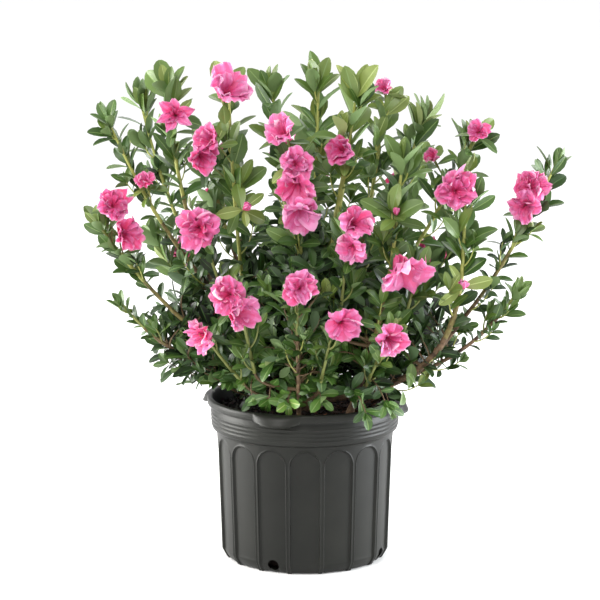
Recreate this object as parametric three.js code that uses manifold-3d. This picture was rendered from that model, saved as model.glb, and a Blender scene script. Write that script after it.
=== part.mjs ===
// A potted azalea shrub: a fluted nursery pot filled with potting mix, a short root crown, tapering
// boughs that fan out of it, and the masses of foliage that the boughs carry.
// Millimetres, +Z up, +X to the right, the front towards -Y, the origin under the middle of the pot.
import * as THREE from "three";
import { mergeVertices } from "three/addons/utils/BufferGeometryUtils.js";
import Module from "manifold-3d";

const wasm = await Module();
wasm.setup();

// ---- Driving dimensions ----

const clearance = 0.35; // between two pieces that touch

const pot = {
  height: 235,
  footRadius: 111,
  wallFootRadius: 119.5,
  wallFootHeight: 13,
  wallTopRadius: 125.5,
  wallTopHeight: 182,
  bandFootRadius: 132.5,
  bandFootHeight: 189,
  bandTopRadius: 134,
  bandTopHeight: 219,
  lipRadius: 139,
  lipFootHeight: 224,
  lipInnerRadius: 132,
  wallThickness: 4,
  floorThickness: 4,
};
// Each flute is a flat panel with slanting sides: the angles of its four edges from its own middle.
const flute = { count: 16, depth: 2, edges: [-9.4, -6.6, 6.6, 9.4], archFoot: 156, archTop: 175 };
const ear = { count: 4, firstAngle: -17, halfAngle: 14.5, reach: 11, topShare: 0.35 };
const drain = { angles: [-22.5, 67.5, 157.5, 247.5], radius: 7.5, height: 11, depth: 24, sides: 12 };

const soilHeight = 214;

const rootCrown = {
  height: 36,
  topRadius: 17,
  footRadius: 29,
  flarePower: 2.5,
  lobes: 5,
  lobeDepth: 0.07,
  sides: 12,
  stations: 3,
};

// A bough's tip is where its line ends, at the top of its foliage: across, depth and height. It leaves
// the root crown on one side (degrees from the right, anticlockwise from above, or none for its middle),
// another bough at a share of that one's length, or the ground at a place. Its middle bellies outwards
// by bow, it is bare for a share of its length, and foot is its radius where it starts.
const boughs = {
  left_crest: { tip: [-192, 34, 708], bow: 100, bare: 0.68, foot: 6.4, side: 165 },
  left_arch: { tip: [-302, -80, 523], bow: 50, bare: 0.62, foot: 5.8, side: 212 },
  centre_crest: { tip: [20, -16, 717], bow: 6, bare: 0.64, foot: 6.6 },
  right_crest: { tip: [113, 26, 685], bow: 40, bare: 0.66, foot: 6, side: 14 },
  right_ball: { tip: [208, -104, 572], bow: 190, bare: 0.72, foot: 7.2, side: -30 },
  back_left: { tip: [-156, 206, 596], bow: 50, bare: 0.62, foot: 6, side: 120 },
  back_right: { tip: [172, 208, 586], bow: 50, bare: 0.62, foot: 6, side: 62 },
  left_outer: { tip: [-286, -44, 666], bow: 25, bare: 0.5, foot: 3.8, from: "left_crest", at: 0.34 },
  left_tall: { tip: [-242, 92, 680], bow: 40, bare: 0.54, foot: 3.8, from: "left_crest", at: 0.28 },
  bloom_crest: { tip: [-106, -70, 716], bow: 30, bare: 0.54, foot: 4, from: "left_crest", at: 0.2 },
  inner_crest: { tip: [-50, 92, 692], bow: 14, bare: 0.5, foot: 4, from: "centre_crest", at: 0.24 },
  front_tall: { tip: [-12, -114, 618], bow: 24, bare: 0.5, foot: 4.2, from: "centre_crest", at: 0.1 },
  right_inner_crest: { tip: [75, -104, 715], bow: 16, bare: 0.56, foot: 4, from: "centre_crest", at: 0.17 },
  right_back_crest: { tip: [179, 112, 650], bow: 22, bare: 0.54, foot: 3.8, from: "right_crest", at: 0.3 },
  right_tall: { tip: [248, 34, 628], bow: 40, bare: 0.58, foot: 4.2, from: "right_crest", at: 0.2 },
  right_outer: { tip: [364, -6, 596], bow: 24, bare: 0.5, foot: 4, from: "right_ball", at: 0.46 },
  right_low: { tip: [312, -80, 430], bow: 44, bare: 0.54, foot: 3.8, from: "right_ball", at: 0.24 },
  left_low: { tip: [-274, -60, 412], bow: 60, bare: 0.5, foot: 3.8, from: "left_arch", at: 0.12 },
  back_centre: { tip: [6, 236, 610], bow: 22, bare: 0.58, foot: 4.2, from: "back_left", at: 0.14 },
  right_front: { tip: [132, -120, 618], bow: 42, bare: 0.56, foot: 5.6, ground: [52, -84] },
  basal_front: { tip: [-12, -196, 436], bow: 8, bare: 0.48, foot: 2.8, ground: [-8, -84] },
};
const bough = { sides: 5, stations: 4, tipShare: 0.5, rootRing: 9, rootShare: 0.55, entry: 0.05, sink: 0.8 };

// The mass of leaves at the end of a bough: its greatest radius, and the share of it that is missing at
// the mass's foot.
const shoots = {
  left_crest: { radius: 40, slim: 0.3 },
  left_arch: { radius: 44, slim: 0.3 },
  centre_crest: { radius: 38, slim: 0.3 },
  right_crest: { radius: 42, slim: 0.3 },
  right_ball: { radius: 46, slim: 0.4 },
  back_left: { radius: 52, slim: 0.3 },
  back_right: { radius: 52, slim: 0.3 },
  left_outer: { radius: 34, slim: 0.5 },
  left_tall: { radius: 34, slim: 0.4 },
  bloom_crest: { radius: 40, slim: 0.4 },
  inner_crest: { radius: 38, slim: 0.3 },
  front_tall: { radius: 38, slim: 0.2 },
  right_inner_crest: { radius: 34, slim: 0.3 },
  right_back_crest: { radius: 40, slim: 0.3 },
  right_tall: { radius: 42, slim: 0.3 },
  right_outer: { radius: 40, slim: 0.5 },
  right_low: { radius: 42, slim: 0.3 },
  left_low: { radius: 36, slim: 0.3 },
  back_centre: { radius: 54, slim: 0.3 },
  right_front: { radius: 44, slim: 0.3 },
  basal_front: { radius: 38, slim: 0.3 },
};

// A mass of leaves on side twigs: foot and tip of its middle line, and its greatest radius.
const sprays = {
  left_bloom: { foot: [-110, -60, 380], tip: [-156, -126, 530], radius: 44 },
  front_left: { foot: [-70, -110, 290], tip: [-98, -184, 444], radius: 46 },
  front_right: { foot: [46, -100, 350], tip: [64, -156, 530], radius: 42 },
  front_far_right: { foot: [130, -76, 330], tip: [166, -150, 474], radius: 44 },
  low_left: { foot: [-80, -90, 266], tip: [-160, -142, 376], radius: 44 },
  low_centre: { foot: [16, -110, 262], tip: [42, -192, 376], radius: 42 },
  low_right: { foot: [84, -98, 266], tip: [122, -186, 378], radius: 40 },
  back_left_low: { foot: [-100, 60, 290], tip: [-240, 150, 460], radius: 60 },
  back_right_low: { foot: [100, 60, 290], tip: [250, 150, 456], radius: 60 },
  back_low: { foot: [0, 90, 268], tip: [8, 256, 436], radius: 66 },
};

// The dense middle of the bush: the centre and half sizes of each rounded mass.
const cores = {
  core_left: { centre: [-122, -4, 328], half: [106, 116, 96] },
  core_centre: { centre: [-6, -38, 392], half: [104, 116, 130] },
  core_right: { centre: [120, 2, 342], half: [108, 116, 108] },
  core_back: { centre: [0, 104, 396], half: [140, 92, 126] },
};

const mass = { sides: 6, stations: 6, detail: 1, meanRadius: 0.87, phaseStep: 1.7 };

const finishes = {
  pot: { color: 0x3b3c3a, roughness: 0.45, metalness: 0 },
  soil: { color: 0x33251c, roughness: 1, metalness: 0 },
  bark: { color: 0x6e5a4a, roughness: 0.85, metalness: 0 },
  leaf: { color: 0x4c6b3a, roughness: 0.5, metalness: 0 },
};

// ---- Solids ----

function solidOf(geometry) {
  geometry.deleteAttribute("normal");
  geometry.deleteAttribute("uv");
  const merged = mergeVertices(geometry, 1e-3);
  const vertProperties = new Float32Array(merged.attributes.position.array);
  const triVerts = new Uint32Array(merged.index.array);
  return new wasm.Manifold(new wasm.Mesh({ numProp: 3, vertProperties, triVerts }));
}

function geometryOf(solid) {
  const { vertProperties, triVerts } = solid.getMesh();
  const geometry = new THREE.BufferGeometry();
  geometry.setAttribute("position", new THREE.BufferAttribute(vertProperties, 3));
  geometry.setIndex(new THREE.BufferAttribute(triVerts, 1));
  geometry.computeVertexNormals();
  return geometry;
}

// What is left of a solid when others are cut out of it: its largest piece.
function cutBy(solid, cutters) {
  const rest = cutters.reduce((left, cutter) => left.subtract(cutter), solid);
  return rest.decompose().reduce((best, piece) => (piece.volume() > best.volume() ? piece : best));
}

// Everything below a height, wide enough for the whole pot.
function groundBelow(height) {
  const reach = pot.lipRadius + ear.reach + 5;
  const geometry = new THREE.CylinderGeometry(reach, reach, 2 * height, 48);
  return solidOf(geometry.rotateX(Math.PI / 2));
}

// Bends a geometry that stands round the Y axis from -1 to 1 so that it follows part of a curve. radiusAt
// gives its radius for a share of the way along and an angle round; grow moves its faces outwards.
function carryAlong(geometry, curve, from, to, radiusAt, grow) {
  const reach = curve.getPoint(1).sub(curve.getPoint(0));
  const across = new THREE.Vector3(-reach.y, reach.x, 0);
  if (across.length() < 1) across.set(0, 1, 0);
  across.normalize();
  const position = geometry.getAttribute("position");
  const point = new THREE.Vector3();
  for (let i = 0; i < position.count; i++) {
    point.fromBufferAttribute(position, i);
    const share = (point.y + 1) / 2;
    const along = from + (to - from) * share;
    const angle = Math.atan2(point.z, point.x);
    const offAxis = Math.hypot(point.x, point.z);
    const radius = offAxis < 1e-6 ? 0 : offAxis * radiusAt(share, angle) + grow;
    const tangent = curve.getTangent(along);
    const outward = new THREE.Vector3().crossVectors(across, tangent);
    const lengthwise = point.y * grow;
    curve.getPoint(along, point).addScaledVector(tangent, lengthwise);
    point.addScaledVector(across, radius * Math.cos(angle));
    point.addScaledVector(outward, radius * Math.sin(angle));
    position.setXYZ(i, point.x, point.y, point.z);
  }
  return solidOf(geometry);
}

// ---- Pot and potting mix ----

// The inside of the pot's wall, from the floor up to its rim, moved inwards by a gap: radius and height.
function potInside(gap) {
  const inset = pot.wallThickness + gap;
  return [
    [pot.wallFootRadius - inset, pot.floorThickness + gap],
    [pot.wallTopRadius - inset, pot.wallTopHeight],
    [pot.bandTopRadius - inset, pot.bandFootHeight],
  ];
}

// The pot's closed profile: radius, height, and how far the flutes are sunk and the ears stand out
// there, as shares of their depth and reach.
function potRings() {
  const wallRadius = (height) => THREE.MathUtils.mapLinear(
    height, pot.wallFootHeight, pot.wallTopHeight, pot.wallFootRadius, pot.wallTopRadius);
  return [
    [0, 0],
    [pot.footRadius, 0, 1],
    [pot.wallFootRadius, pot.wallFootHeight, 1],
    [wallRadius(flute.archFoot), flute.archFoot, 1],
    [wallRadius(flute.archTop), flute.archTop],
    [pot.wallTopRadius, pot.wallTopHeight],
    [pot.bandFootRadius, pot.bandFootHeight],
    [pot.bandTopRadius, pot.bandTopHeight],
    [pot.lipRadius, pot.lipFootHeight, 0, 1],
    [pot.lipRadius, pot.height, 0, ear.topShare],
    [pot.lipInnerRadius, pot.height],
    ...potInside(0).reverse(),
    [0, pot.floorThickness],
  ];
}

// The ears' bulge at an angle from the front: a half wave over each ear, from 0 at its ends to 1.
function earBulge(angle) {
  const pitch = 360 / ear.count;
  const turned = angle - ear.firstAngle;
  const fromMiddle = Math.abs(turned - pitch * Math.round(turned / pitch));
  return Math.cos((Math.min(1, fromMiddle / ear.halfAngle) * Math.PI) / 2);
}

// A closed profile turned round the pot's axis, in the steps that the edges of the flutes give.
function potLathe(rings) {
  const edges = flute.edges.length;
  const segments = flute.count * edges;
  const profile = rings.map(([radius, height]) => new THREE.Vector2(radius, height));
  const geometry = new THREE.LatheGeometry(profile, segments);
  const position = geometry.getAttribute("position");
  for (let i = 0; i < position.count; i++) {
    const [radius, height, sunk = 0, raised = 0] = rings[i % rings.length];
    const segment = Math.floor(i / rings.length) % segments;
    const edge = segment % edges;
    const angle = (360 / flute.count) * Math.floor(segment / edges) + flute.edges[edge];
    const inFlute = edge > 0 && edge < edges - 1;
    const moved = radius - (inFlute ? flute.depth * sunk : 0) + ear.reach * raised * earBulge(angle);
    const turn = THREE.MathUtils.degToRad(angle);
    position.setXYZ(i, moved * Math.sin(turn), -moved * Math.cos(turn), height);
  }
  return solidOf(geometry);
}

// A hole through the foot of the wall, at an angle from the front.
function drainHole(angle) {
  const geometry = new THREE.CylinderGeometry(drain.radius, drain.radius, drain.depth, drain.sides);
  geometry.translate(0, -pot.wallFootRadius, drain.height);
  return solidOf(geometry.rotateZ(THREE.MathUtils.degToRad(angle)));
}

function potSolid() {
  return cutBy(potLathe(potRings()), drain.angles.map(drainHole));
}

function soilSolid() {
  const side = potInside(clearance);
  const [topRadius] = side.at(-1);
  return potLathe([[0, side[0][1]], ...side, [topRadius, soilHeight], [0, soilHeight]]);
}

// ---- Stems ----

// A short stump with a lobed flare at its foot, cut flat where it stands on the potting mix.
function rootCrownSolid(grow) {
  const { height, topRadius, footRadius, flarePower, lobes, lobeDepth, sides, stations } = rootCrown;
  const foot = new THREE.Vector3(0, 0, soilHeight + clearance);
  const line = new THREE.LineCurve3(foot, foot.clone().setZ(foot.z + height));
  const flare = (share) => topRadius + (footRadius - topRadius) * (1 - share) ** flarePower;
  const radius = (share, angle) => flare(share) * (1 + lobeDepth * Math.cos(lobes * angle));
  return carryAlong(new THREE.CylinderGeometry(1, 1, 2, sides, stations), line, 0, 1, radius, grow);
}

// Where a bough's line starts.
function boughRoot({ side, from, at, ground }) {
  if (ground) return new THREE.Vector3(...ground, soilHeight);
  if (from) return boughLine(boughs[from]).getPoint(at);
  const root = new THREE.Vector3(0, 0, soilHeight + rootCrown.height * bough.rootShare);
  if (side === undefined) return root;
  const ring = new THREE.Vector3(bough.rootRing, 0, 0);
  return root.add(ring.applyAxisAngle(new THREE.Vector3(0, 0, 1), THREE.MathUtils.degToRad(side)));
}

// From a bough's root, bellying outwards and down, to its tip.
function boughLine(row) {
  const root = boughRoot(row);
  const tip = new THREE.Vector3(...row.tip);
  const outward = new THREE.Vector3(tip.x - root.x, tip.y - root.y, 0).normalize();
  const middle = root.clone().lerp(tip, 0.5).addScaledVector(outward, row.bow);
  middle.z -= row.bow * bough.sink;
  return new THREE.QuadraticBezierCurve3(root, middle, tip);
}

function boughSolid(row, grow) {
  const radius = (share) => row.foot * (1 - (1 - bough.tipShare) * share);
  const geometry = new THREE.CylinderGeometry(1, 1, 2, bough.sides, bough.stations);
  return carryAlong(geometry, boughLine(row), 0, row.bare + bough.entry, radius, grow);
}

// ---- Foliage ----

// The uneven surface of a mass: a few waves round and along it, which differ from mass to mass.
function lumps(phase, angle, along) {
  const waves = Math.sin(2 * angle + phase) + 0.8 * Math.sin(3 * angle - 5 * along + 2 * phase);
  return mass.meanRadius * (1 + 0.1 * waves + 0.07 * Math.cos(4 * along + 3 * phase));
}

// A long mass round part of a line: slim where it starts and full towards its blunt tip.
function longMass(line, from, { radius, slim = 0 }, phase, grow) {
  const radiusAt = (share, angle) => radius * (1 - slim * (1 - share)) * lumps(phase, angle, share);
  return carryAlong(new THREE.SphereGeometry(1, mass.sides, mass.stations), line, from, 1, radiusAt, grow);
}

function roundMass({ centre, half }, phase, grow) {
  const geometry = new THREE.IcosahedronGeometry(1, mass.detail);
  const position = geometry.getAttribute("position");
  for (let i = 0; i < position.count; i++) {
    const way = [position.getX(i), position.getY(i), position.getZ(i)];
    const size = lumps(phase, Math.atan2(way[1], way[0]), way[2]);
    position.setXYZ(i, ...way.map((part, axis) => centre[axis] + part * (half[axis] * size + grow)));
  }
  return solidOf(geometry);
}

// Each mass: its name, and a function that makes it grown by a distance.
function massMakers() {
  const makers = [];
  const addMaker = (name, make) => {
    const phase = makers.length * mass.phaseStep;
    makers.push([name, (grow) => make(phase, grow)]);
  };
  for (const [name, row] of Object.entries(shoots)) {
    const { bare } = boughs[name];
    addMaker(name, (phase, grow) => longMass(boughLine(boughs[name]), bare, row, phase, grow));
  }
  for (const [name, row] of Object.entries(sprays)) {
    const line = new THREE.LineCurve3(new THREE.Vector3(...row.foot), new THREE.Vector3(...row.tip));
    addMaker(name, (phase, grow) => longMass(line, 0, row, phase, grow));
  }
  for (const [name, row] of Object.entries(cores)) {
    addMaker(name, (phase, grow) => roundMass(row, phase, grow));
  }
  return makers;
}

// ---- Assembly ----

const azalea = new THREE.Group();

function place(name, solid, finish) {
  const mesh = new THREE.Mesh(geometryOf(solid), new THREE.MeshStandardMaterial(finishes[finish]));
  mesh.name = name;
  azalea.add(mesh);
}

place("pot", potSolid(), "pot");
place("potting_mix", soilSolid(), "soil");
place("root_crown", rootCrownSolid(0), "bark");

// Each piece is cut clear of the pieces placed before it.
const takenByLimbs = [groundBelow(soilHeight + clearance), rootCrownSolid(clearance)];
for (const [name, row] of Object.entries(boughs)) {
  place(`bough_${name}`, cutBy(boughSolid(row, 0), takenByLimbs), "bark");
  takenByLimbs.push(boughSolid(row, clearance));
}

const takenByAll = [groundBelow(pot.height + clearance), ...takenByLimbs];
for (const [name, makeMass] of massMakers()) {
  place(`foliage_${name}`, cutBy(makeMass(0), takenByAll), "leaf");
  takenByAll.push(makeMass(clearance));
}

export default azalea;
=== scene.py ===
import math

import bmesh
import bpy
import numpy as np
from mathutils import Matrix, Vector


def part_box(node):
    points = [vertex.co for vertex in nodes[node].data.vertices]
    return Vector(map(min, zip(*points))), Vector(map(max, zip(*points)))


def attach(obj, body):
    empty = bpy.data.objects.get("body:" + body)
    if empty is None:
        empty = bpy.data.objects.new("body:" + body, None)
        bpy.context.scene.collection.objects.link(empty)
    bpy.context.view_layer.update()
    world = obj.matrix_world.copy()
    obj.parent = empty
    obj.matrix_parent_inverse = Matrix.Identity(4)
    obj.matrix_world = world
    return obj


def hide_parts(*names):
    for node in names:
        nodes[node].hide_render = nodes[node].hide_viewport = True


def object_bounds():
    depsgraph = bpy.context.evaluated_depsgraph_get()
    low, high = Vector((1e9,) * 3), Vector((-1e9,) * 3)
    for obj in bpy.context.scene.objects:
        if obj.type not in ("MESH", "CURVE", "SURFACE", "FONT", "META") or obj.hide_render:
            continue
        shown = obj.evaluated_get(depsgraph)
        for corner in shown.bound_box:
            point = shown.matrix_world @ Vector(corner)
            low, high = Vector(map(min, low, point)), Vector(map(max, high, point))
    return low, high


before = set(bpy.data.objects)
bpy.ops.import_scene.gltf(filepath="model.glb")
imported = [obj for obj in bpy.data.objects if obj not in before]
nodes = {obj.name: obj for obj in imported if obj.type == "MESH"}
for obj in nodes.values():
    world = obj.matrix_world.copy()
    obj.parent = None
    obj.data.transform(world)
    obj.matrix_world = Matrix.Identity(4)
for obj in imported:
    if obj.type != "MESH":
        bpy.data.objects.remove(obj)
cadBox = [list(corner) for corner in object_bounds()]
up = np.array([0.0, 0.0, 1.0])
goldenAngle = math.radians(137.508)
mm = 0.001


# Camera, light and floor

view = {"place": (-0.007, -4.0, 1.13), "target": (-0.007, 0, 0.372), "lens": 172, "sensor": 36, "reach": 200}

lamps = {
    "keyLight": {"place": (-1.0, -2.3, 2.7), "size": 1.5, "power": 66, "tint": (1, 0.98, 0.94)},
    "leftLight": {"place": (-2.6, 0.35, 0.5), "size": 1.8, "power": 140, "tint": (1, 0.99, 0.95)},
    "rightLight": {"place": (2.6, 0.3, 0.5), "size": 1.8, "power": 130, "tint": (0.93, 0.97, 1)},
    "rimLight": {"place": (0.5, 2.4, 2.2), "size": 1.8, "power": 30, "tint": (1, 1, 1)},
    "lowLeftLight": {"place": (-2.2, -0.2, 0.16), "size": 0.9, "power": 26, "tint": (1, 1, 0.96)},
    "lowRightLight": {"place": (2.2, -0.2, 0.16), "size": 0.9, "power": 26, "tint": (0.95, 0.98, 1)},
}
studio = {
    "skyStrength": 1.0, "aim": (0, 0, 0.38), "floorRadius": 30, "floorCorners": 96, "floorTint": 0.94,
    "floorRoughness": 0.9, "floorGlow": 0.06,
}


def aimAt(thing, place, target):
    # Stands at place and looks down its own -Z at the target
    thing.location = place
    thing.rotation_euler = (Vector(target) - Vector(place)).to_track_quat("-Z", "Y").to_euler()


def addCamera():
    camera = bpy.data.objects.new("camera", bpy.data.cameras.new("camera"))
    camera.data.lens = view["lens"]
    camera.data.sensor_width = view["sensor"]
    camera.data.clip_end = view["reach"]
    aimAt(camera, view["place"], view["target"])
    bpy.context.scene.collection.objects.link(camera)
    bpy.context.scene.camera = camera


def addLamps():
    for name, row in lamps.items():
        light = bpy.data.lights.new(name, "AREA")
        light.size = row["size"]
        light.energy = row["power"]
        light.color = row["tint"]
        lamp = bpy.data.objects.new(name, light)
        aimAt(lamp, row["place"], studio["aim"])
        bpy.context.scene.collection.objects.link(lamp)
    world = bpy.data.worlds.new("paleSky")
    world.use_nodes = True
    world.node_tree.nodes["Background"].inputs["Color"].default_value = (1, 1, 1, 1)
    world.node_tree.nodes["Background"].inputs["Strength"].default_value = studio["skyStrength"]
    bpy.context.scene.world = world
    bpy.context.scene.view_settings.view_transform = "Standard"


# Helpers for meshes and materials

def paint(code):
    # "#rrggbb" as the linear values that a socket takes
    parts = [int(code[i:i + 2], 16) / 255 for i in (1, 3, 5)]
    return [*[p / 12.92 if p <= 0.04045 else ((p + 0.055) / 1.055) ** 2.4 for p in parts], 1]


def plainMaterial(name, code, roughness, **more):
    # One colour all over, on the shader's own sockets
    made = bpy.data.materials.new(name)
    made.use_nodes = True
    made.diffuse_color = paint(code)
    sockets = made.node_tree.nodes["Principled BSDF"].inputs
    sockets["Base Color"].default_value = paint(code)
    sockets["Roughness"].default_value = roughness
    for label, value in more.items():
        sockets[label.replace("_", " ")].default_value = value
    return made


noiseRoughness = 0.55


def patternMaterial(name, look):
    # Colours by a noise on Object coordinates, with roughness and bump from a finer noise
    made = bpy.data.materials.new(name)
    made.use_nodes = True
    made.diffuse_color = paint(look["colours"][0])
    tree = made.node_tree
    shader = tree.nodes["Principled BSDF"]
    coordinates = tree.nodes.new("ShaderNodeTexCoord")

    def noise(scale, detail):
        node = tree.nodes.new("ShaderNodeTexNoise")
        node.inputs["Scale"].default_value = scale
        node.inputs["Detail"].default_value = detail
        node.inputs["Roughness"].default_value = noiseRoughness
        tree.links.new(coordinates.outputs["Object"], node.inputs["Vector"])
        return node

    patches = noise(look["patchScale"], 6)
    ramp = tree.nodes.new("ShaderNodeValToRGB")
    stops = np.linspace(look.get("from", 0.3), look.get("to", 0.7), len(look["colours"]))
    while len(ramp.color_ramp.elements) < len(stops):
        ramp.color_ramp.elements.new(0.5)
    for element, stop, code in zip(ramp.color_ramp.elements, stops, look["colours"]):
        element.position = stop
        element.color = paint(code)
    tree.links.new(patches.outputs["Fac"], ramp.inputs["Fac"])
    tree.links.new(ramp.outputs["Color"], shader.inputs["Base Color"])
    grain = noise(look["grainScale"], 4)
    shine = tree.nodes.new("ShaderNodeMapRange")
    shine.inputs["To Min"].default_value = look["roughness"][0]
    shine.inputs["To Max"].default_value = look["roughness"][1]
    tree.links.new(grain.outputs["Fac"], shine.inputs["Value"])
    tree.links.new(shine.outputs["Result"], shader.inputs["Roughness"])
    shader.inputs["Specular IOR Level"].default_value = look.get("shine", 0.5)
    bump = tree.nodes.new("ShaderNodeBump")
    bump.inputs["Strength"].default_value = look["bump"]
    bump.inputs["Distance"].default_value = look["bumpDepth"]
    tree.links.new(grain.outputs["Fac"], bump.inputs["Height"])
    tree.links.new(bump.outputs["Normal"], shader.inputs["Normal"])
    return made


def unit(arrows):
    return arrows / np.maximum(np.linalg.norm(arrows, axis=-1, keepdims=True), 1e-12)


def dot(a, b):
    return (a * b).sum(-1, keepdims=True)


def addPiece(name, points, loops, starts, materials, kinds=None, sharp=None):
    # A mesh from points, the corners of its faces one after the other, and where each face starts
    mesh = bpy.data.meshes.new(name)
    mesh.vertices.add(len(points))
    mesh.vertices.foreach_set("co", np.asarray(points, np.float32).ravel())
    mesh.loops.add(len(loops))
    mesh.loops.foreach_set("vertex_index", np.asarray(loops, np.int32))
    mesh.polygons.add(len(starts))
    mesh.polygons.foreach_set("loop_start", np.asarray(starts, np.int32))
    for material in materials:
        mesh.materials.append(material)
    if kinds is not None:
        mesh.polygons.foreach_set("material_index", np.asarray(kinds, np.int32))
    mesh.polygons.foreach_set("use_smooth", np.ones(len(starts), bool))
    mesh.update(calc_edges=True)
    if sharp:
        mesh.set_sharp_from_angle(angle=math.radians(sharp))
    piece = bpy.data.objects.new(name, mesh)
    bpy.context.scene.collection.objects.link(piece)
    return piece


def quads(rows, columns, wrap):
    # The faces of a grid of points numbered row by row; wrap joins the last column to the first
    i = np.arange(rows - 1)[:, None]
    j = np.arange(columns if wrap else columns - 1)[None]
    k = (j + 1) % columns
    low, high = i * columns, (i + 1) * columns
    return np.stack([low + j, low + k, high + k, high + j], -1).reshape(-1, 4)


def asFaces(*groups):
    # Quads and triangles, as arrays of corners, joined into loops and starts
    loops = np.concatenate([group.ravel() for group in groups])
    sizes = np.concatenate([np.full(len(group), group.shape[1]) for group in groups])
    return loops, np.concatenate([[0], np.cumsum(sizes)[:-1]])


def repeated(loops, starts, points, copies):
    # The faces of one small shape, given again for each copy of it
    shift = np.arange(copies)[:, None]
    return (loops[None] + shift * points).ravel(), (starts[None] + shift * len(loops)).ravel()


# Middle lines of the boughs and the masses of leaves, from the frame

skinOrder = 6


def skinPoints(node):
    # Points spread evenly over a node's faces, and the area that each stands for
    mesh = nodes[node].data
    places = np.empty(len(mesh.vertices) * 3, np.float32)
    mesh.vertices.foreach_get("co", places)
    mesh.calc_loop_triangles()
    corners = np.empty(len(mesh.loop_triangles) * 3, np.int32)
    mesh.loop_triangles.foreach_get("vertices", corners)
    corners = places.reshape(-1, 3)[corners].reshape(-1, 3, 3).astype(float)
    i, j = [part.ravel() for part in np.meshgrid(range(skinOrder + 1), range(skinOrder + 1))]
    inside = i + j <= skinOrder
    shares = np.stack([i, j, skinOrder - i - j], 1)[inside] / skinOrder
    points = np.einsum("bk,tka->tba", shares, corners)
    sides = corners[:, 1:] - corners[:, :1]
    area = np.linalg.norm(np.cross(sides[:, 0], sides[:, 1]), axis=1)
    return points.reshape(-1, 3), np.repeat(area, len(shares))


def resample(line, count):
    # The same line in steps of equal length
    steps = np.linalg.norm(np.diff(line, axis=0), axis=1)
    gone = np.concatenate([[0], np.cumsum(steps)])
    wanted = np.linspace(0, gone[-1], count)
    return np.stack([np.interp(wanted, gone, line[:, axis]) for axis in range(3)], 1)


def middleLine(names, count, slices=14, power=4):
    # Cuts the nodes into slices across the way from their lowest point to the farthest one, takes each
    # slice's middle, and runs a smooth power curve through them
    parts = [skinPoints(name) for name in names]
    points = np.concatenate([part[0] for part in parts])
    weights = np.concatenate([part[1] for part in parts])
    low = points[points[:, 2].argmin()]
    far = points[((points - low) ** 2).sum(1).argmax()]
    chord = far - low
    share = (points - low) @ chord / (chord @ chord)
    spots = np.linspace(0, 1, slices)
    near = np.exp(-(((spots[:, None] - share[None]) * slices) ** 2)) * weights
    middles = near @ points / near.sum(1, keepdims=True)
    places = near @ share / near.sum(1)
    curve = np.stack([np.polyval(np.polyfit(places, middles[:, axis], power), np.linspace(0, 1, 60))
                      for axis in range(3)], 1)
    return resample(curve, count)


def spread(line, name):
    # The mean distance of a node's faces from a line
    points, weights = skinPoints(name)
    gaps = np.linalg.norm(points[:, None] - line[None], axis=2).min(1)
    return (gaps * weights).sum() / weights.sum()


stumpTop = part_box("root_crown")[1][2]
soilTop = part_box("potting_mix")[1][2]
boughNames = sorted(name[len("bough_"):] for name in nodes if name.startswith("bough_"))
massNames = sorted(name[len("foliage_"):] for name in nodes if name.startswith("foliage_"))
stations = 65
seats = {
    "stumpRadius": 0.03, "stumpShare": 0.55, "stumpDepth": 0.012, "groundBand": 0.008, "groundDepth": 0.012,
}

limbLines = {name: middleLine(["bough_" + name, "foliage_" + name], stations) for name in boughNames}
print("middle lines:", len(limbLines))


def seatOn(line, seat):
    # Pulls the foot of a line to its seat; the pull fades out along the line
    fade = (1 - np.linspace(0, 1, len(line)))[:, None] ** 4
    return line + (seat - line[0]) * fade


def seatLimbs():
    # A limb that starts at the stump runs down into it, one that starts on another limb starts on that
    # one's line, and one that comes out of the ground starts under its surface
    seated = {}
    for name, line in limbLines.items():
        x, y, z = line[0]
        if math.hypot(x, y) < seats["stumpRadius"]:
            seat = np.array([x * seats["stumpShare"], y * seats["stumpShare"], soilTop + seats["stumpDepth"]])
        elif z < soilTop + seats["groundBand"]:
            seat = np.array([x, y, soilTop - seats["groundDepth"]])
        else:
            others = np.concatenate([other for label, other in limbLines.items() if label != name])
            seat = others[((others - line[0]) ** 2).sum(1).argmin()]
        seated[name] = seatOn(line, seat)
    return seated


limbLines = seatLimbs()


# Leaves

# Shares of a leaf's length, how wide it is there, and places across its blade
leafForms = {
    "large": {
        "rows": [0.06, 0.2, 0.4, 0.62, 0.82, 0.945],
        "widths": [0.16, 0.52, 0.88, 1, 0.75, 0.36],
        "columns": [-1, -0.55, -0.075, 0.075, 0.55, 1],
    },
    "small": {
        "rows": [0.08, 0.34, 0.66, 0.9],
        "widths": [0.16, 0.76, 1, 0.58],
        "columns": [-1, -0.1, 0.1, 1],
    },
}

# The darkest greens serve mostly as painted shade for leaves deep inside the cores
leafGreens = [
    "#081404", "#15280b", "#233d13", "#324e1a", "#405d22",
    "#50692a", "#617534", "#72813d", "#858f49", "#989c55"]
freshGreens = ["#1b330f", "#294616", "#38591e", "#486a26", "#5a7a31", "#6e8a3e"]
ribGreens = ["#3f5c30", "#6e864b", "#98a765"]
underGreens = ["#445c38", "#657d4b", "#8a9860"]
leafShine = {"green": 0.42, "rib": 0.5, "underside": 0.6}
blade = {"swell": 0.28, "thickness": 0.0005, "keel": 0.05}


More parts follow.
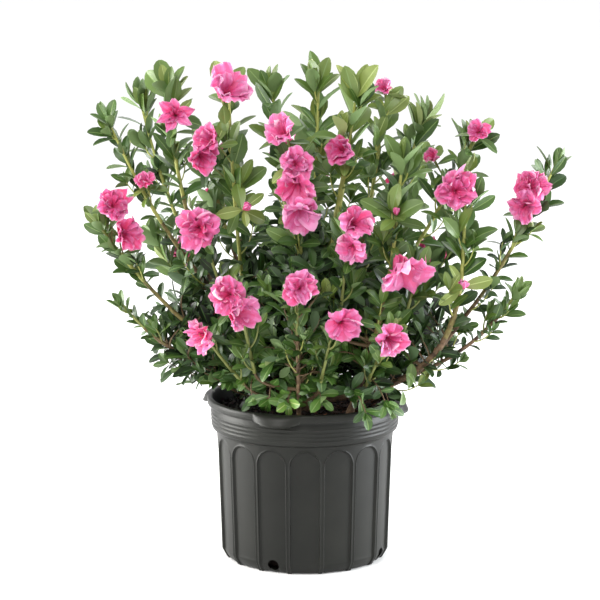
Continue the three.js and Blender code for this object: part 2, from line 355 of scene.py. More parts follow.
def leafTemplate(form):
    # One leaf's faces: the top of the blade in strips with the rib between them, and the underside in two
    # halves that share the top's edges. Points are the base, the tip, the top's grid and the keel below it.
    rows, columns = len(form["rows"]), len(form["columns"])
    top = 2 + np.arange(rows * columns).reshape(rows, columns)
    keel = 2 + rows * columns + np.arange(rows)
    strip = np.arange(columns - 1)
    rib = (columns - 2) // 2
    faces, kinds = [], []
    for i in range(rows - 1):
        for j in strip:
            faces.append([top[i, j], top[i, j + 1], top[i + 1, j + 1], top[i + 1, j]])
            kinds.append(1 if j == rib else 0)
        faces.append([top[i, 0], top[i + 1, 0], keel[i + 1], keel[i]])
        faces.append([keel[i], keel[i + 1], top[i + 1, -1], top[i, -1]])
        kinds += [2, 2]
    for j in strip:
        faces.append([0, top[0, j + 1], top[0, j]])
        faces.append([1, top[-1, j], top[-1, j + 1]])
        kinds += [1 if j == rib else 0] * 2
    faces += [[0, top[0, 0], keel[0]], [0, keel[0], top[0, -1]]]
    faces += [[1, keel[-1], top[-1, 0]], [1, top[-1, -1], keel[-1]]]
    kinds += [2] * 4
    loops = np.concatenate(faces)
    starts = np.concatenate([[0], np.cumsum([len(face) for face in faces])[:-1]])
    return loops, starts, np.array(kinds), 2 + rows * columns + rows


def leafPoints(leaves, form):
    # The blade's middle is an arc of the leaf's length that bends away from its face. Across it, the two
    # halves rise from the rib in a shallow fold and swell a little, and the whole turns slowly lengthwise.
    share = np.array([0, 1, *form["rows"]])
    half = np.array([0, 0, *form["widths"]]) * 0.5
    bend = leaves["droop"][:, None] * share
    length, droop = leaves["length"][:, None], leaves["droop"][:, None]
    forward = (length * np.sin(bend) / droop)[..., None]
    down = (length * (1 - np.cos(bend)) / droop)[..., None]
    way, face = leaves["way"][:, None], leaves["face"][:, None]
    middle = leaves["place"][:, None] + forward * way - down * face
    normal = np.cos(bend)[..., None] * face + np.sin(bend)[..., None] * way
    aside = np.cross(way, face)
    turn = (leaves["twist"][:, None] * share)[..., None]
    across = np.cos(turn) * aside + np.sin(turn) * normal
    normal = np.cos(turn) * normal - np.sin(turn) * aside
    breadth = (half * leaves["width"][:, None])[..., None]
    column = np.array(form["columns"])
    rise = np.abs(column) * leaves["fold"][:, None, None]
    rise = rise + blade["swell"] * np.abs(column) * (1 - np.abs(column))
    breadth, across, normal = breadth[:, 2:], across[:, 2:], normal[:, 2:]
    top = middle[:, 2:, None] + (breadth * column)[..., None] * across[:, :, None]
    top = top + (breadth * rise)[..., None] * normal[:, :, None]
    keel = middle[:, 2:] - normal * (blade["thickness"] + blade["keel"] * breadth)
    return np.concatenate([middle[:, :2], top.reshape(len(middle), -1, 3), keel], 1)


def along(lines, share):
    # Places and directions at shares of the way along each line
    last = lines.shape[1] - 1
    spot = np.clip(share, 0, 1) * last
    low = np.minimum(spot.astype(int), last - 1)
    row = np.arange(len(lines))[:, None]
    here, there = lines[row, low], lines[row, low + 1]
    return here + (spot - low)[..., None] * (there - here), unit(there - here)


def sidesOf(lines, way):
    # Two directions across each line at the given ways: one steady along the line, and one square to both
    chord = lines[:, -1] - lines[:, 0]
    steady = unit(np.cross(chord, np.array([0.37, 0.83, 0.42])))[:, None]
    first = unit(steady - dot(steady, way) * way)
    return first, np.cross(way, first)


def bentLines(foot, elbow, tip, count):
    # Quadratic curves from foot to tip that lean towards the elbow
    t = np.linspace(0, 1, count)[None, :, None]
    return (1 - t) ** 2 * foot[:, None] + 2 * t * (1 - t) * elbow[:, None] + t ** 2 * tip[:, None]


def lengthsOf(lines):
    return np.linalg.norm(np.diff(lines, axis=1), axis=2).sum(1)


# How leaves differ from their rule. Ways are in radians, facing is how much a blade looks along its line,
# up and outwards, and shades run from 0 to 1.
habit = {
    "steps": (0.92, 1.08), "turnNoise": 0.18, "wayNoise": 0.14, "followers": 12, "facing": (0.55, 0.4, 0.5),
    "facingNoise": 0.26, "youngest": 0.55, "lastSmaller": 0.18, "sizes": (0.82, 1.16), "widths": (0.88, 1.14),
    "sprayShade": 0.09, "leafShade": 0.05, "youngShade": 0.12, "oldShade": 0.14, "droopNoise": 0.18,
    "folds": (0.1, 0.42), "youngFold": 0.2, "twist": 0.25,
}


def sprout(rng, lines, look, tone):
    # Leaves on each line, counted down from its tip. The first ones stand close together as a rosette, and
    # the rest follow singly; each is turned by the golden angle from the one above it. Inner leaves are
    # small, steep and light, outer ones long and spread. A blade's face looks along its line, up and
    # outwards from the plant's middle.
    lengths = lengthsOf(lines)
    crowd = look["rosette"]
    single = int(lengths.max() / look["spacing"])
    index = np.arange(crowd + single)[None]
    firstTurn = rng.uniform(0, 2 * math.pi, (len(lines), 1))
    below = np.maximum(index - crowd + 1, 0)
    depth = look["nib"] * np.minimum(index, crowd) + look["spacing"] * below
    depth = depth * rng.uniform(*habit["steps"], (len(lines), 1))
    share = 1 - depth / lengths[:, None]
    kept = share > look["bare"]
    place, way = along(lines, share)
    first, second = sidesOf(lines, way)
    turn = firstTurn + goldenAngle * index + rng.normal(0, habit["turnNoise"], share.shape)
    outer = np.minimum(1, index / max(crowd - 1, 1))
    tilt = look["steep"] + (look["flat"] - look["steep"]) * outer - habit["followers"] * (below > 0)
    tilt = np.radians(tilt) + rng.normal(0, habit["wayNoise"], share.shape)
    radial = np.cos(turn)[..., None] * first + np.sin(turn)[..., None] * second
    leafWay = np.cos(tilt)[..., None] * way + np.sin(tilt)[..., None] * radial
    leafWay = unit(leafWay + up * look["rise"])
    outwards = unit(place * np.array([0.5, 1, 0]) - np.array([0, 0.1, 0]))
    onward, upward, outward = habit["facing"]
    facing = onward * way + upward * up + outward * outwards
    facing = facing + rng.normal(0, habit["facingNoise"], leafWay.shape)
    facing = unit(facing - dot(facing, leafWay) * leafWay)
    grown = habit["youngest"] + (1 - habit["youngest"]) * np.minimum(1, (index + 1) / (0.6 * crowd))
    grown = grown - habit["lastSmaller"] * below / max(single, 1)
    size = look["leaf"] * grown * rng.uniform(*habit["sizes"], share.shape)
    size = size * look.get("vigour", np.ones(len(lines)))[:, None]
    shade = tone + rng.normal(0, habit["sprayShade"], (len(lines), 1))
    shade = shade + habit["youngShade"] * (1 - outer) - habit["oldShade"] * np.minimum(below, 6) / 6
    made = {
        "place": place, "way": leafWay, "face": facing, "length": size,
        "shade": shade + rng.normal(0, habit["leafShade"], share.shape),
        "width": size * look["breadth"] * rng.uniform(*habit["widths"], share.shape),
        "droop": look["droop"] * (0.4 + 0.8 * outer) + rng.normal(0, habit["droopNoise"], share.shape),
        "fold": rng.uniform(*habit["folds"], share.shape) + habit["youngFold"] * (1 - outer),
        "twist": rng.normal(0, habit["twist"], share.shape),
        "fresh": np.full(share.shape, look.get("fresh", 0)),
    }
    made["droop"] = np.maximum(0.05, made["droop"])
    return {label: values[kept] for label, values in made.items()}


# Twigs

tubeEnds = [-0.6, 0.8]  # how far a tube's closing points stand beyond its ends, in radii


def tubePoints(lines, radii, sides):
    # Rings round each line's stations, then the closing points at its two ends
    way = unit(np.gradient(lines, axis=1))
    first, second = sidesOf(lines, way)
    turn = np.arange(sides) * 2 * math.pi / sides
    ring = np.cos(turn)[:, None] * first[:, :, None] + np.sin(turn)[:, None] * second[:, :, None]
    rings = lines[:, :, None] + radii[..., None, None] * ring
    reach = radii[:, [0, -1], None] * np.array(tubeEnds)[None, :, None]
    ends = lines[:, [0, -1]] + way[:, [0, -1]] * reach
    return np.concatenate([rings.reshape(len(lines), -1, 3), ends], 1)


def endCaps(count, sides):
    # Triangles from the two closing points, numbered after the rings, to the first and the last ring
    j = np.arange(sides)
    k = (j + 1) % sides
    last = (count - 1) * sides
    foot = np.stack([np.full(sides, count * sides), k, j], 1)
    tip = np.stack([np.full(sides, count * sides + 1), last + j, last + k], 1)
    return foot, tip


def tubeFaces(count, sides):
    return asFaces(quads(count, sides, True), *endCaps(count, sides))


def addTubes(name, groups, sides, materials):
    # Many tubes joined in one piece: each group is lines, radii and one material index for each line
    lines, radii, kinds = [np.concatenate(part) for part in zip(*groups)]
    points = tubePoints(lines, radii, sides)
    loops, starts = tubeFaces(lines.shape[1], sides)
    faces = len(starts)
    loops, starts = repeated(loops, starts, points.shape[1], len(lines))
    return addPiece(name, points.reshape(-1, 3), loops, starts, materials, np.repeat(kinds, faces), sharp=60)


# Growth

shootLook = {
    "leaf": 0.054, "breadth": 0.41, "rosette": 6, "nib": 0.003, "spacing": 0.0115, "bare": 0.02,
    "steep": 12, "flat": 46, "rise": 0.16, "droop": 0.4,
}
twigLook = dict(shootLook, leaf=0.047, rosette=5, spacing=0.013, bare=0.2)
collarLook = dict(twigLook, leaf=0.04, steep=70, flat=104, nib=0.002, bare=0.25, droop=0.3)
coreLook = {
    "leaf": 0.032, "breadth": 0.4, "rosette": 5, "nib": 0.0013, "spacing": 0.0075, "bare": 0.12,
    "steep": 22, "flat": 68, "rise": 0.12, "droop": 0.4,
}
limbLook = dict(coreLook, leaf=0.036, breadth=0.42, spacing=0.01, bare=0.25)
alongLook = dict(limbLook, leaf=0.038, rosette=1, spacing=0.014, bare=0.02)
lowLook = dict(coreLook, leaf=0.028, breadth=0.46, rosette=6, spacing=0.009, bare=0.3, fresh=1)

# How light a mass's greens are, from 0 to 1, the gap between its side twigs, how many times wider that gap
# is along its bare bough, and the size of its leaves
lookKeys = ("tone", "step", "open", "size")
massLooks = {
    "left_crest": (0.51, 0.05, 1.7, 1),
    "left_outer": (0.5, 0.08, 2.6, 0.74),
    "left_tall": (0.52, 0.055, 2.4, 0.9),
    "left_arch": (0.46, 0.064, 2.8, 0.75),
    "left_low": (0.44, 0.06, 1.6, 0.5),
    "left_bloom": (0.46, 0.066, 3, 0.75),
    "bloom_crest": (0.54, 0.045, 1.7, 1),
    "centre_crest": (0.54, 0.045, 0.8, 1),
    "inner_crest": (0.52, 0.045, 0.8, 1),
    "right_inner_crest": (0.51, 0.04, 0.8, 1),
    "right_crest": (0.52, 0.045, 0.8, 1),
    "right_back_crest": (0.5, 0.045, 0.8, 1),
    "right_tall": (0.5, 0.045, 0.8, 1),
    "right_ball": (0.54, 0.045, 1.2, 1),
    "right_outer": (0.46, 0.07, 0.4, 0.76),
    "right_low": (0.44, 0.045, 0.55, 0.62),
    "right_front": (0.52, 0.045, 0.8, 1),
    "front_tall": (0.52, 0.045, 0.8, 1),
    "low_left": (0.42, 0.032, 0.8, 0.62),
    "low_centre": (0.46, 0.032, 0.8, 0.62),
    "low_right": (0.42, 0.032, 0.8, 0.62),
    "basal_front": (0.46, 0.036, 0.8, 0.62),
    "front_left": (0.44, 0.032, 0.8, 0.66),
    "front_right": (0.46, 0.036, 0.8, 0.8),
    "front_far_right": (0.44, 0.036, 0.8, 0.74),
}
plainLook = (0.46, 0.032, 0.8, 1)
coreTwigs = {"core_left": 84, "core_right": 100, "core_centre": 146, "core_back": 115}
# The cores' greens start low: painted shade for the inside of the crown
coreShadedTone = 0.19
coreFill = 0.86  # how far out the tips go, as a share of the mass's half size
twigStations = 9
closest = 0.7  # the least share of its look's spacing that a small-leaved mass keeps

# Low twigs that hang over the rim, as places in millimetres from the foot over an elbow to the tip
trailers = [
    [(60, -70, 262), (92, -98, 306), (113, -120, 246)],
    [(48, -66, 250), (70, -112, 282), (84, -143, 240)],
    [(-52, -66, 262), (-84, -98, 300), (-72, -114, 250)],
    [(-40, -60, 256), (-46, -100, 300), (-50, -120, 252)],
    [(6, -52, 240), (16, -92, 292), (22, -122, 256)],
    [(-2, -60, 250), (-18, -104, 286), (-24, -126, 250)],
    [(84, -46, 262), (108, -92, 300), (118, -106, 236)],
    [(-70, -30, 256), (-102, -58, 300), (-108, -60, 278)],
    [(40, 60, 250), (80, 104, 296), (92, 116, 248)],
    [(-40, 62, 250), (-84, 100, 296), (-100, 104, 250)],
    [(0, 66, 250), (6, 112, 300), (8, 140, 248)],
]


def lookOf(name):
    return dict(zip(lookKeys, massLooks.get(name, plainLook)))


def sized(look, name):
    # The same look with the leaves of the mass's own size
    size = lookOf(name)["size"]
    return dict(look, leaf=look["leaf"] * size, spacing=look["spacing"] * max(size, closest))


def sideTwigs(rng, line, reach, step, spans):
    # Twigs off a leafy stem, each turned by the golden angle from the last. A twig leaves at about 45
    # degrees, as long as the mass is wide there, and bends up along the stem.
    count = max(3, int(lengthsOf(line[None])[0] / step))
    share = np.linspace(*spans, count) + rng.normal(0, 0.02, count)
    lines = np.repeat(line[None], count, 0)
    place, way = along(lines, share[:, None])
    first, second = sidesOf(lines, way)
    turn = (rng.uniform(0, 6.28) + goldenAngle * np.arange(count))[:, None, None]
    radial = np.cos(turn) * first + np.sin(turn) * second
    place, way, radial = place[:, 0], way[:, 0], radial[:, 0]
    size = (reach * rng.uniform(0.75, 1.1, count) * (1 - 0.35 * share))[:, None]
    elbow = place + size * (0.35 * way + 0.5 * radial)
    tip = place + size * (way + 0.62 * radial + 0.25 * up)
    return bentLines(place, elbow, tip, twigStations)


def taper(lines, thick, thin):
    # Radii that fall evenly from thick to thin along each line
    share = np.linspace(0, 1, lines.shape[1])[None]
    return np.broadcast_to(np.asarray(thick), (len(lines),))[:, None] * (1 - share) + thin * share


leavesOf = {}
twigGroups = {"upper": [], "lower": [], "inner": []}
stemLines = []
tipInset = 0.034  # how far short of its mass's end a stem stops
young, woody, olive = range(3)  # the twigs' paints


def keepTwigs(group, lines, thick, thin, kind):
    twigGroups[group].append((lines, taper(lines, thick, thin), np.full(len(lines), kind)))


def growShoot(name, rng, line, radius):
    # A leafy stem through a mass, with its side twigs
    look = lookOf(name)
    length = lengthsOf(line[None])[0]
    stem = resample(line, 61)[:int(61 * (1 - tipInset / length))]
    stem = resample(stem, twigStations)
    twigs = sideTwigs(rng, stem, radius * 1.05, look["step"], (0.06, 0.8))
    leavesOf[name] = [
        sprout(rng, stem[None], sized(shootLook, name), look["tone"]),
        sprout(rng, twigs, sized(twigLook, name), look["tone"])]
    group, kind = ("upper", young) if stem[-1][2] > 0.5 else ("lower", olive)
    keepTwigs(group, stem[None], 0.0029, 0.0017, kind)
    keepTwigs(group, twigs, 0.0015, 0.001, kind)
    stemLines.append(stem)


def nearestBelow(points, drop):
    # For each point, the nearest place on a limb that lies lower by the drop
    line = np.concatenate(list(limbLines.values()))
    gaps = np.linalg.norm(points[:, None] - line[None], axis=2)
    gaps = gaps + 10 * (line[None, :, 2] > points[:, None, 2] - drop)
    return line[gaps.argmin(1)]


def reachTo(tips, drop, longest):
    # Where twigs to the tips start: on the nearest lower limb, or as far towards it as a twig is long
    feet = nearestBelow(tips, drop)
    return tips + (feet - tips) * np.minimum(1, longest / np.linalg.norm(feet - tips, axis=1))[:, None]


def growCore(name, rng):
    # Twigs from the limbs out to places spread through a rounded mass: turned by the golden angle, even in
    # height, and at depths that favour its surface
    low, high = np.array(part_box("foliage_" + name))
    centre, half = (low + high) / 2, (high - low) / 2
    count = int(coreTwigs[name] * np.prod(half) / np.prod([0.1, 0.1, 0.11]))
    index = np.arange(count)
    height = 1 - 2 * (index + 0.5) / count
    turn = goldenAngle * index
    ring = np.sqrt(1 - height ** 2)
    way = np.stack([ring * np.cos(turn), ring * np.sin(turn), height], 1)
    depth = rng.uniform(0.35, 1, count) ** 0.5 * coreFill
    tips = centre + way * half * depth[:, None] - up * 0.01
    feet = reachTo(tips, 0.03, 0.16)
    elbows = feet + (tips - feet) * 0.55 + way * 0.018 - up * 0.006
    lines = bentLines(feet, elbows, tips, twigStations)
    look = dict(coreLook, vigour=rng.uniform(0.8, 1.25, count), bare=0.4)
    # Tips deeper inside the mass take darker greens: painted shade
    tone = coreShadedTone + 0.9 * (depth / coreFill - 0.82)[:, None]
    leavesOf[name] = [sprout(rng, lines, look, tone)]
    keepTwigs("inner", lines, 0.0014, 0.0007, woody)


def growAlongLimb(name, rng, own):
    # Leaves and short twigs on the part of a limb that is above the pot and below its leafy end
    line = limbLines[name]
    last = ((line - own[0]) ** 2).sum(1).argmin() + 4
    first = max(int(0.2 * last), int((line[:, 2] < soilTop + 0.045).sum()))
    if last - first < 6:
        return
    part = resample(line[first:last], 41)
    tone = lookOf(name)["tone"] - 0.08
    gap = lookOf(name)["step"] * lookOf(name)["open"]
    twigs = sideTwigs(rng, part, 0.045, gap, (0.02, 1))
    leavesOf[name] += [
        sprout(rng, twigs, sized(limbLook, name), tone),
        sprout(rng, part[None], sized(alongLook, name), tone)]
    keepTwigs("lower", twigs, 0.0012, 0.0008, young)


# Where no leaf hangs over the rim: degrees from the front, towards the right, and metres
rimSides = {"left": -36, "right": 60, "back": 115, "radius": 0.112, "height": 0.258}


def angleOf(point):
    return np.degrees(np.arctan2(point[:, 0], -point[:, 1]))


def overRimSide(point):
    # Whether points are low over the rim to the left and the right of the pot's front
    angle = angleOf(point)
    beside = (angle < rimSides["left"]) | (angle > rimSides["right"])
    outside = np.hypot(point[:, 0], point[:, 1]) > rimSides["radius"]
    return beside & (np.abs(angle) < rimSides["back"]) & outside & (point[:, 2] < rimSides["height"])


lowRing = {"count": 130, "inside": 0.035, "width": 0.095, "heights": (0.04, 0.13), "longest": 0.09}


def growLowTwigs():
    # Short twigs with small leaves low over the pot: their tips are turned by the golden angle and spread
    # evenly in a ring round the stump. The front ones take lighter greens and the back ones darker: painted
    # light and shade.
    rng = np.random.default_rng(7300)
    count = lowRing["count"]
    index = np.arange(count)
    turn = goldenAngle * index
    outward = np.stack([np.cos(turn), np.sin(turn), 0 * turn], 1)
    radius = lowRing["inside"] + lowRing["width"] * np.sqrt((index + 0.5) / count)
    height = soilTop + rng.uniform(*lowRing["heights"], count)
    tips = outward * radius[:, None] + up * height[:, None]
    feet = reachTo(tips, 0.012, lowRing["longest"])
    elbows = feet + (tips - feet) * 0.5 + up * 0.012 - outward * 0.008
    trailed = np.array(trailers) * mm
    lines = np.concatenate([
        bentLines(feet, elbows, tips, twigStations),
        bentLines(trailed[:, 0], trailed[:, 1], trailed[:, 2], twigStations)])
    # Painted light and shade: how far to the front a twig's tip is sets how light its greens are
    front = np.clip(-lines[:, -1, 1] / 0.1, -0.4, 1)
    look = dict(lowLook, vigour=rng.uniform(0.8, 1.25, len(lines)))
    made = sprout(rng, lines, look, (0.24 + 0.14 * front)[:, None])
    angle = angleOf(made["place"])
    parts = {"core_centre": np.abs(angle) < 60, "core_right": (angle >= 60) & (angle < 120),
             "core_left": (angle <= -60) & (angle > -120), "core_back": np.abs(angle) >= 120}
    for name, mine in parts.items():
        leavesOf[name].append({label: values[mine] for label, values in made.items()})
    keepTwigs("lower", lines, 0.0013, 0.0008, woody)


def growPlant():
    # A core fills itself with twigs off the limbs. Any other mass is a shoot at the end of its own limb, or
    # a shoot on a bent stem that comes from the nearest limb below it.
    for order, name in enumerate(massNames):
        rng = np.random.default_rng(7100 + order)
        if name.startswith("core_"):
            growCore(name, rng)
            continue
        own = middleLine(["foliage_" + name], 41, slices=9, power=3)
        radius = spread(own, "foliage_" + name)
        if name in limbLines:
            line = limbLines[name]
            own = line[((line - own[0]) ** 2).sum(1).argmin():]
            growShoot(name, rng, own, radius)
            growAlongLimb(name, rng, own)
        else:
            growShoot(name, rng, own, radius)
            foot = nearestBelow(own[:1], 0.02)[0]
            elbow = own[0] - unit(own[-1] - own[0]) * 0.4 * np.linalg.norm(own[0] - foot)
            stem = bentLines(foot[None], elbow[None], own[:1], twigStations)
            keepTwigs("lower", stem, 0.0026, 0.0022, woody)
    growLowTwigs()


growPlant()
print("leafy stems:", len(stemLines))


# Blossoms

# Each stands on a short twig off a mass's stem: how far along the stem, which way the twig goes (degrees
# from the front, towards the right), how far out, how far that is shifted to the right and up, the way
# that the blossom faces (turn and tilt), and its size
blossomKeys = ("mass", "at", "turn", "out", "shift", "faces", "size", "kind")
blossomRows = [
    ("bloom_crest", 0.9, 10, 12, (-11, 6), (30, 40), 74, "funnel"),
    ("left_crest", 0.58, 5, 40, (3, 32), (0, 12), 60, "star"),
    ("bloom_crest", 0.5, -80, 34, (10, 11), (-30, 20), 46, "funnel"),
    ("bloom_crest", 0.32, -75, 36, (-12, 23), (20, -10), 52, "funnel"),
    ("front_tall", 1.0, -90, 18, (4, 36), (-35, 38), 56, "funnel"),
    ("front_tall", 0.86, 0, 14, (-4, 21), (12, 6), 54, "double"),
    ("front_tall", 0.72, 0, 12, (0, 18), (-10, -28), 56, "trumpet"),
    ("front_tall", 0.5, 20, 18, (-7, 14), (8, -32), 54, "trumpet"),
    ("left_arch", 0.85, 70, 22, (-12, 41), (25, 24), 52, "double"),
    ("left_arch", 0.56, 75, 20, (-21, 29), (40, 8), 52, "funnel"),
    ("left_outer", 0.25, 0, 10, (8, 7), (-20, 40), 30, "funnel"),
    ("left_bloom", 0.84, 0, 10, (-5, 16), (-6, 6), 63, "double"),
    ("bloom_crest", 0.1, 18, 46, (0, -14), (30, 35), 18, "bud"),
    ("front_left", 0.9, 0, 8, (-11, 11), (-14, 4), 56, "double"),
    ("front_left", 0.66, 35, 16, (-27, 19), (48, -12), 58, "funnel"),
    ("basal_front", 0.94, 0, 6, (3, 26), (6, 12), 53, "double"),
    ("low_left", 0.8, -10, 14, (0, 19), (-45, -12), 60, "open"),
    ("right_inner_crest", 0.36, -50, 10, (4, 10), (-20, 12), 50, "funnel"),
    ("right_crest", 0.95, 200, 14, (8, 22), (-20, 45), 32, "funnel"),
    ("right_tall", 0.55, -90, 34, (4, 25), (-30, 40), 28, "funnel"),
    ("right_tall", 0.92, 0, 26, (12, 26), (-10, 18), 38, "open"),
    ("right_ball", 0.9, 0, 4, (-15, 27), (8, 12), 62, "double"),
    ("right_outer", 0.62, -60, 14, (0, 18), (10, 30), 54, "double"),
    ("right_outer", 0.38, -20, 10, (0, 25), (-12, -10), 53, "open"),
    ("front_right", 0.9, 60, 8, (-3, 22), (22, 16), 52, "funnel"),
    ("front_right", 0.7, 10, 14, (7, 23), (-16, -14), 52, "open"),
    ("front_far_right", 0.86, -30, 12, (-22, 32), (30, -46), 74, "trumpet"),
    ("low_centre", 1.0, 40, 6, (10, 27), (14, -4), 62, "open"),
    ("low_right", 0.86, 0, 10, (0, 12), (24, -8), 50, "funnel"),
    ("right_ball", 0.02, 0, 12, (0, -10), (10, 42), 22, "bud"),
    ("right_front", 0.42, 0, 12, (0, 26), (0, 40), 16, "bud"),
    ("back_left", 0.92, 190, 12, (20, -10), (200, 25), 56, "double"),
    ("back_left", 0.45, 215, 34, (24, 0), (215, 5), 48, "open"),
    ("back_centre", 0.84, 180, 10, (0, -10), (180, 32), 60, "double"),
    ("back_centre", 0.5, 160, 40, (0, 0), (165, 0), 50, "open"),
    ("back_right", 0.84, 160, 14, (-10, -6), (160, 16), 58, "open"),
    ("back_left_low", 0.86, 195, 14, (40, 0), (215, 10), 56, "double"),
    ("back_left_low", 0.3, 200, 34, (30, -10), (220, -10), 46, "funnel"),
    ("back_right_low", 0.85, 165, 20, (-34, 0), (150, 10), 56, "double"),
    ("back_right_low", 0.45, 130, 36, (-30, 0), (118, -5), 46, "open"),
    ("back_low", 0.92, 180, 10, (0, 15), (184, 6), 60, "double"),
    ("back_low", 0.6, 215, 42, (0, 15), (205, -20), 54, "trumpet"),
    ("back_low", 0.45, 140, 44, (0, 15), (150, -10), 46, "funnel"),
    ("inner_crest", 0.35, 180, 26, (10, 0), (185, 16), 50, "double"),
    ("back_right", 0.62, 190, 26, (0, 0), (175, 18), 52, "double"),
]
blossoms = [dict(zip(blossomKeys, row)) for row in blossomRows]

# Each whorl of petals: how many, their length and width as shares of the blossom's size, the angles from
# the blossom's axis at a petal's foot and tip, how strongly its edge is ruffled, and how pointed its tip is
whorlKeys = ("petals", "length", "width", "angles", "ruffle", "point")
whorls = {
    "open": [
        (5, 0.58, 0.54, (14, 102), 0.1, 0.34),
        (3, 0.42, 0.4, (14, 80), 0.12, 0.34),
    ],
    "funnel": [
        (5, 0.72, 0.64, (10, 72), 0.1, 0.34),
        (3, 0.56, 0.44, (12, 52), 0.12, 0.34),
    ],
    "trumpet": [
        (5, 0.8, 0.7, (8, 88), 0.1, 0.34),
        (3, 0.6, 0.46, (10, 62), 0.12, 0.34),
    ],
    "double": [
        (5, 0.6, 0.6, (16, 108), 0.11, 0.34),
        (5, 0.5, 0.48, (16, 88), 0.13, 0.34),
        (3, 0.36, 0.38, (16, 66), 0.13, 0.34),
    ],
    "star": [
        (6, 0.62, 0.36, (14, 98), 0.05, 0.7),
        (3, 0.36, 0.24, (12, 62), 0.06, 0.34),
    ],
    "bud": [
        (4, 1.05, 0.8, (42, -38), 0.01, 0.34),
    ],
}
petalPinks = ["#cb2f63", "#ca3a70", "#c9457b", "#c85288", "#c96395", "#cd79a6"]
petalGrid = {"rows": 10, "columns": 11}
petalLook = {
    "roughness": 0.55, "glow": 0.45, "glowDepth": 0.004, "glowTint": (1, 0.5, 0.6), "thickness": 0.0006,
}
# How petals are painted: the pink at the foot, how far it pales towards the tip and by what power, the paler
# edge and where it starts, and the streaks
pinkDeal = {
    "foot": 0.3, "rise": 3.3, "power": 1.3, "edge": 0.6, "edgeFrom": 0.75, "streak": 0.8, "streaks": 9,
}
stalkLook = {"foot": 0.0012, "top": 0.0014, "swelling": 0.0021}
threadLook = {"count": 6, "lean": 0.28, "reach": (0.3, 0.45), "bow": 0.12, "thick": 0.0004, "thin": 0.0003}


def heading(turn, tilt=0):
    # The way that lies turn degrees from the front, towards the right, and tilt degrees above level
    turn, tilt = math.radians(turn), math.radians(tilt)
    return np.array([math.sin(turn) * math.cos(tilt), -math.cos(turn) * math.cos(tilt), math.sin(tilt)])


def petalTemplate():
    # A thin closed petal: a grid above and a grid below that share their edge points, and for each face how
    # far along and across the petal it is
    rows, columns = petalGrid["rows"], petalGrid["columns"]
    upper = np.arange(rows * columns).reshape(rows, columns)
    lower = upper.copy()
    inner = (rows - 2) * (columns - 2)
    lower[1:-1, 1:-1] = rows * columns + np.arange(inner).reshape(rows - 2, columns - 2)
    grid = quads(rows, columns, False)
    faces = np.concatenate([grid[:, ::-1], lower.ravel()[grid]])
    share = np.repeat((np.arange(rows - 1) + 0.5) / (rows - 1), columns - 1)
    across = np.tile((np.arange(columns - 1) + 0.5) / (columns - 1) * 2 - 1, rows - 1)
    starts = np.arange(len(faces)) * 4
    return faces.ravel(), starts, np.tile(share, 2), np.tile(across, 2), rows * columns + inner


def petalPoints(petals):
    # A petal's middle is an arc that opens away from the blossom's axis. Its half width grows from a narrow
    # foot by a power and falls again near the tip, the sides are shorter than the middle, and sine waves that
    # grow towards the edge ruffle it.
    u = np.linspace(0, 1, petalGrid["rows"])[None, :, None]
    v = np.linspace(-1, 1, petalGrid["columns"])[None, None]
    labels = ("length", "width", "start", "end", "ruffle", "phase", "cup", "point")
    length, width, start, end, ruffle, phase, cup, point = [petals[label][:, None, None] for label in labels]
    notches = 0.035 * np.cos(5 * v + 3 * phase) + 0.013 * np.cos(13 * v + 5 * phase)
    reach = u * (1 - 0.17 * v ** 2 - notches)
    bend = end - start
    bend = np.where(np.abs(bend) < 0.01, 0.01, bend)
    angle = start + bend * reach
    outward = length * (np.cos(start) - np.cos(angle)) / bend
    lengthwise = length * (np.sin(angle) - np.sin(start)) / bend
    half = 0.5 * width * (0.2 + 0.9 * u ** 0.9) * (1 - point * u ** 5)
    wave = ruffle * u ** 1.6 * (0.25 + np.abs(v) ** 1.3) * np.sin(4.2 * v + phase)
    wave = wave + 0.45 * ruffle * u ** 2.2 * np.sin(8 * v + 2 * phase)
    wave = wave + 0.35 * ruffle * np.sin(9 * u + 3 * phase) * np.sign(v) * np.abs(v) ** 1.5
    lift = cup * half * v ** 2 + wave
    labels = ("radial", "aside", "axis", "foot")
    radial, aside, axis, foot = [petals[label][:, None, None] for label in labels]
    normal = np.sin(angle)[..., None] * axis - np.cos(angle)[..., None] * radial
    upper = foot + outward[..., None] * radial + lengthwise[..., None] * axis
    upper = upper + (v * half)[..., None] * aside + lift[..., None] * normal
    lower = (upper - petalLook["thickness"] * normal)[:, 1:-1, 1:-1]
    count = len(upper)
    return np.concatenate([upper.reshape(count, -1, 3), lower.reshape(count, -1, 3)], 1)


stemOf = dict(zip([name for name in massNames if not name.startswith("core_")], stemLines))


def placeBlossoms():
    # Works out where each blossom's foot is, and the twig that it stands on
    for row in blossoms:
        stem = resample(stemOf[row["mass"]], 101)
        spot = stem[int(min(1, row["at"]) * 100)]
        row["axis"] = heading(*row["faces"])
        aside, lift = row["shift"]
        row["foot"] = spot + (heading(row["turn"]) * row["out"] + np.array([aside, 0, lift])) * mm
        start = stem[max(0, int((row["at"] - 0.14) * 100))]
        elbow = (start + row["foot"]) / 2 - row["axis"] * 0.25 * np.linalg.norm(row["foot"] - start)
        row["twig"] = bentLines(start[None], elbow[None], row["foot"][None], twigStations)
        row["centre"] = row["foot"] + row["axis"] * row["size"] * mm * 0.32


bloomRoom = {"ball": 0.4, "ahead": 1.1, "aside": 0.42}  # shares of a blossom's size that stay free of leaves


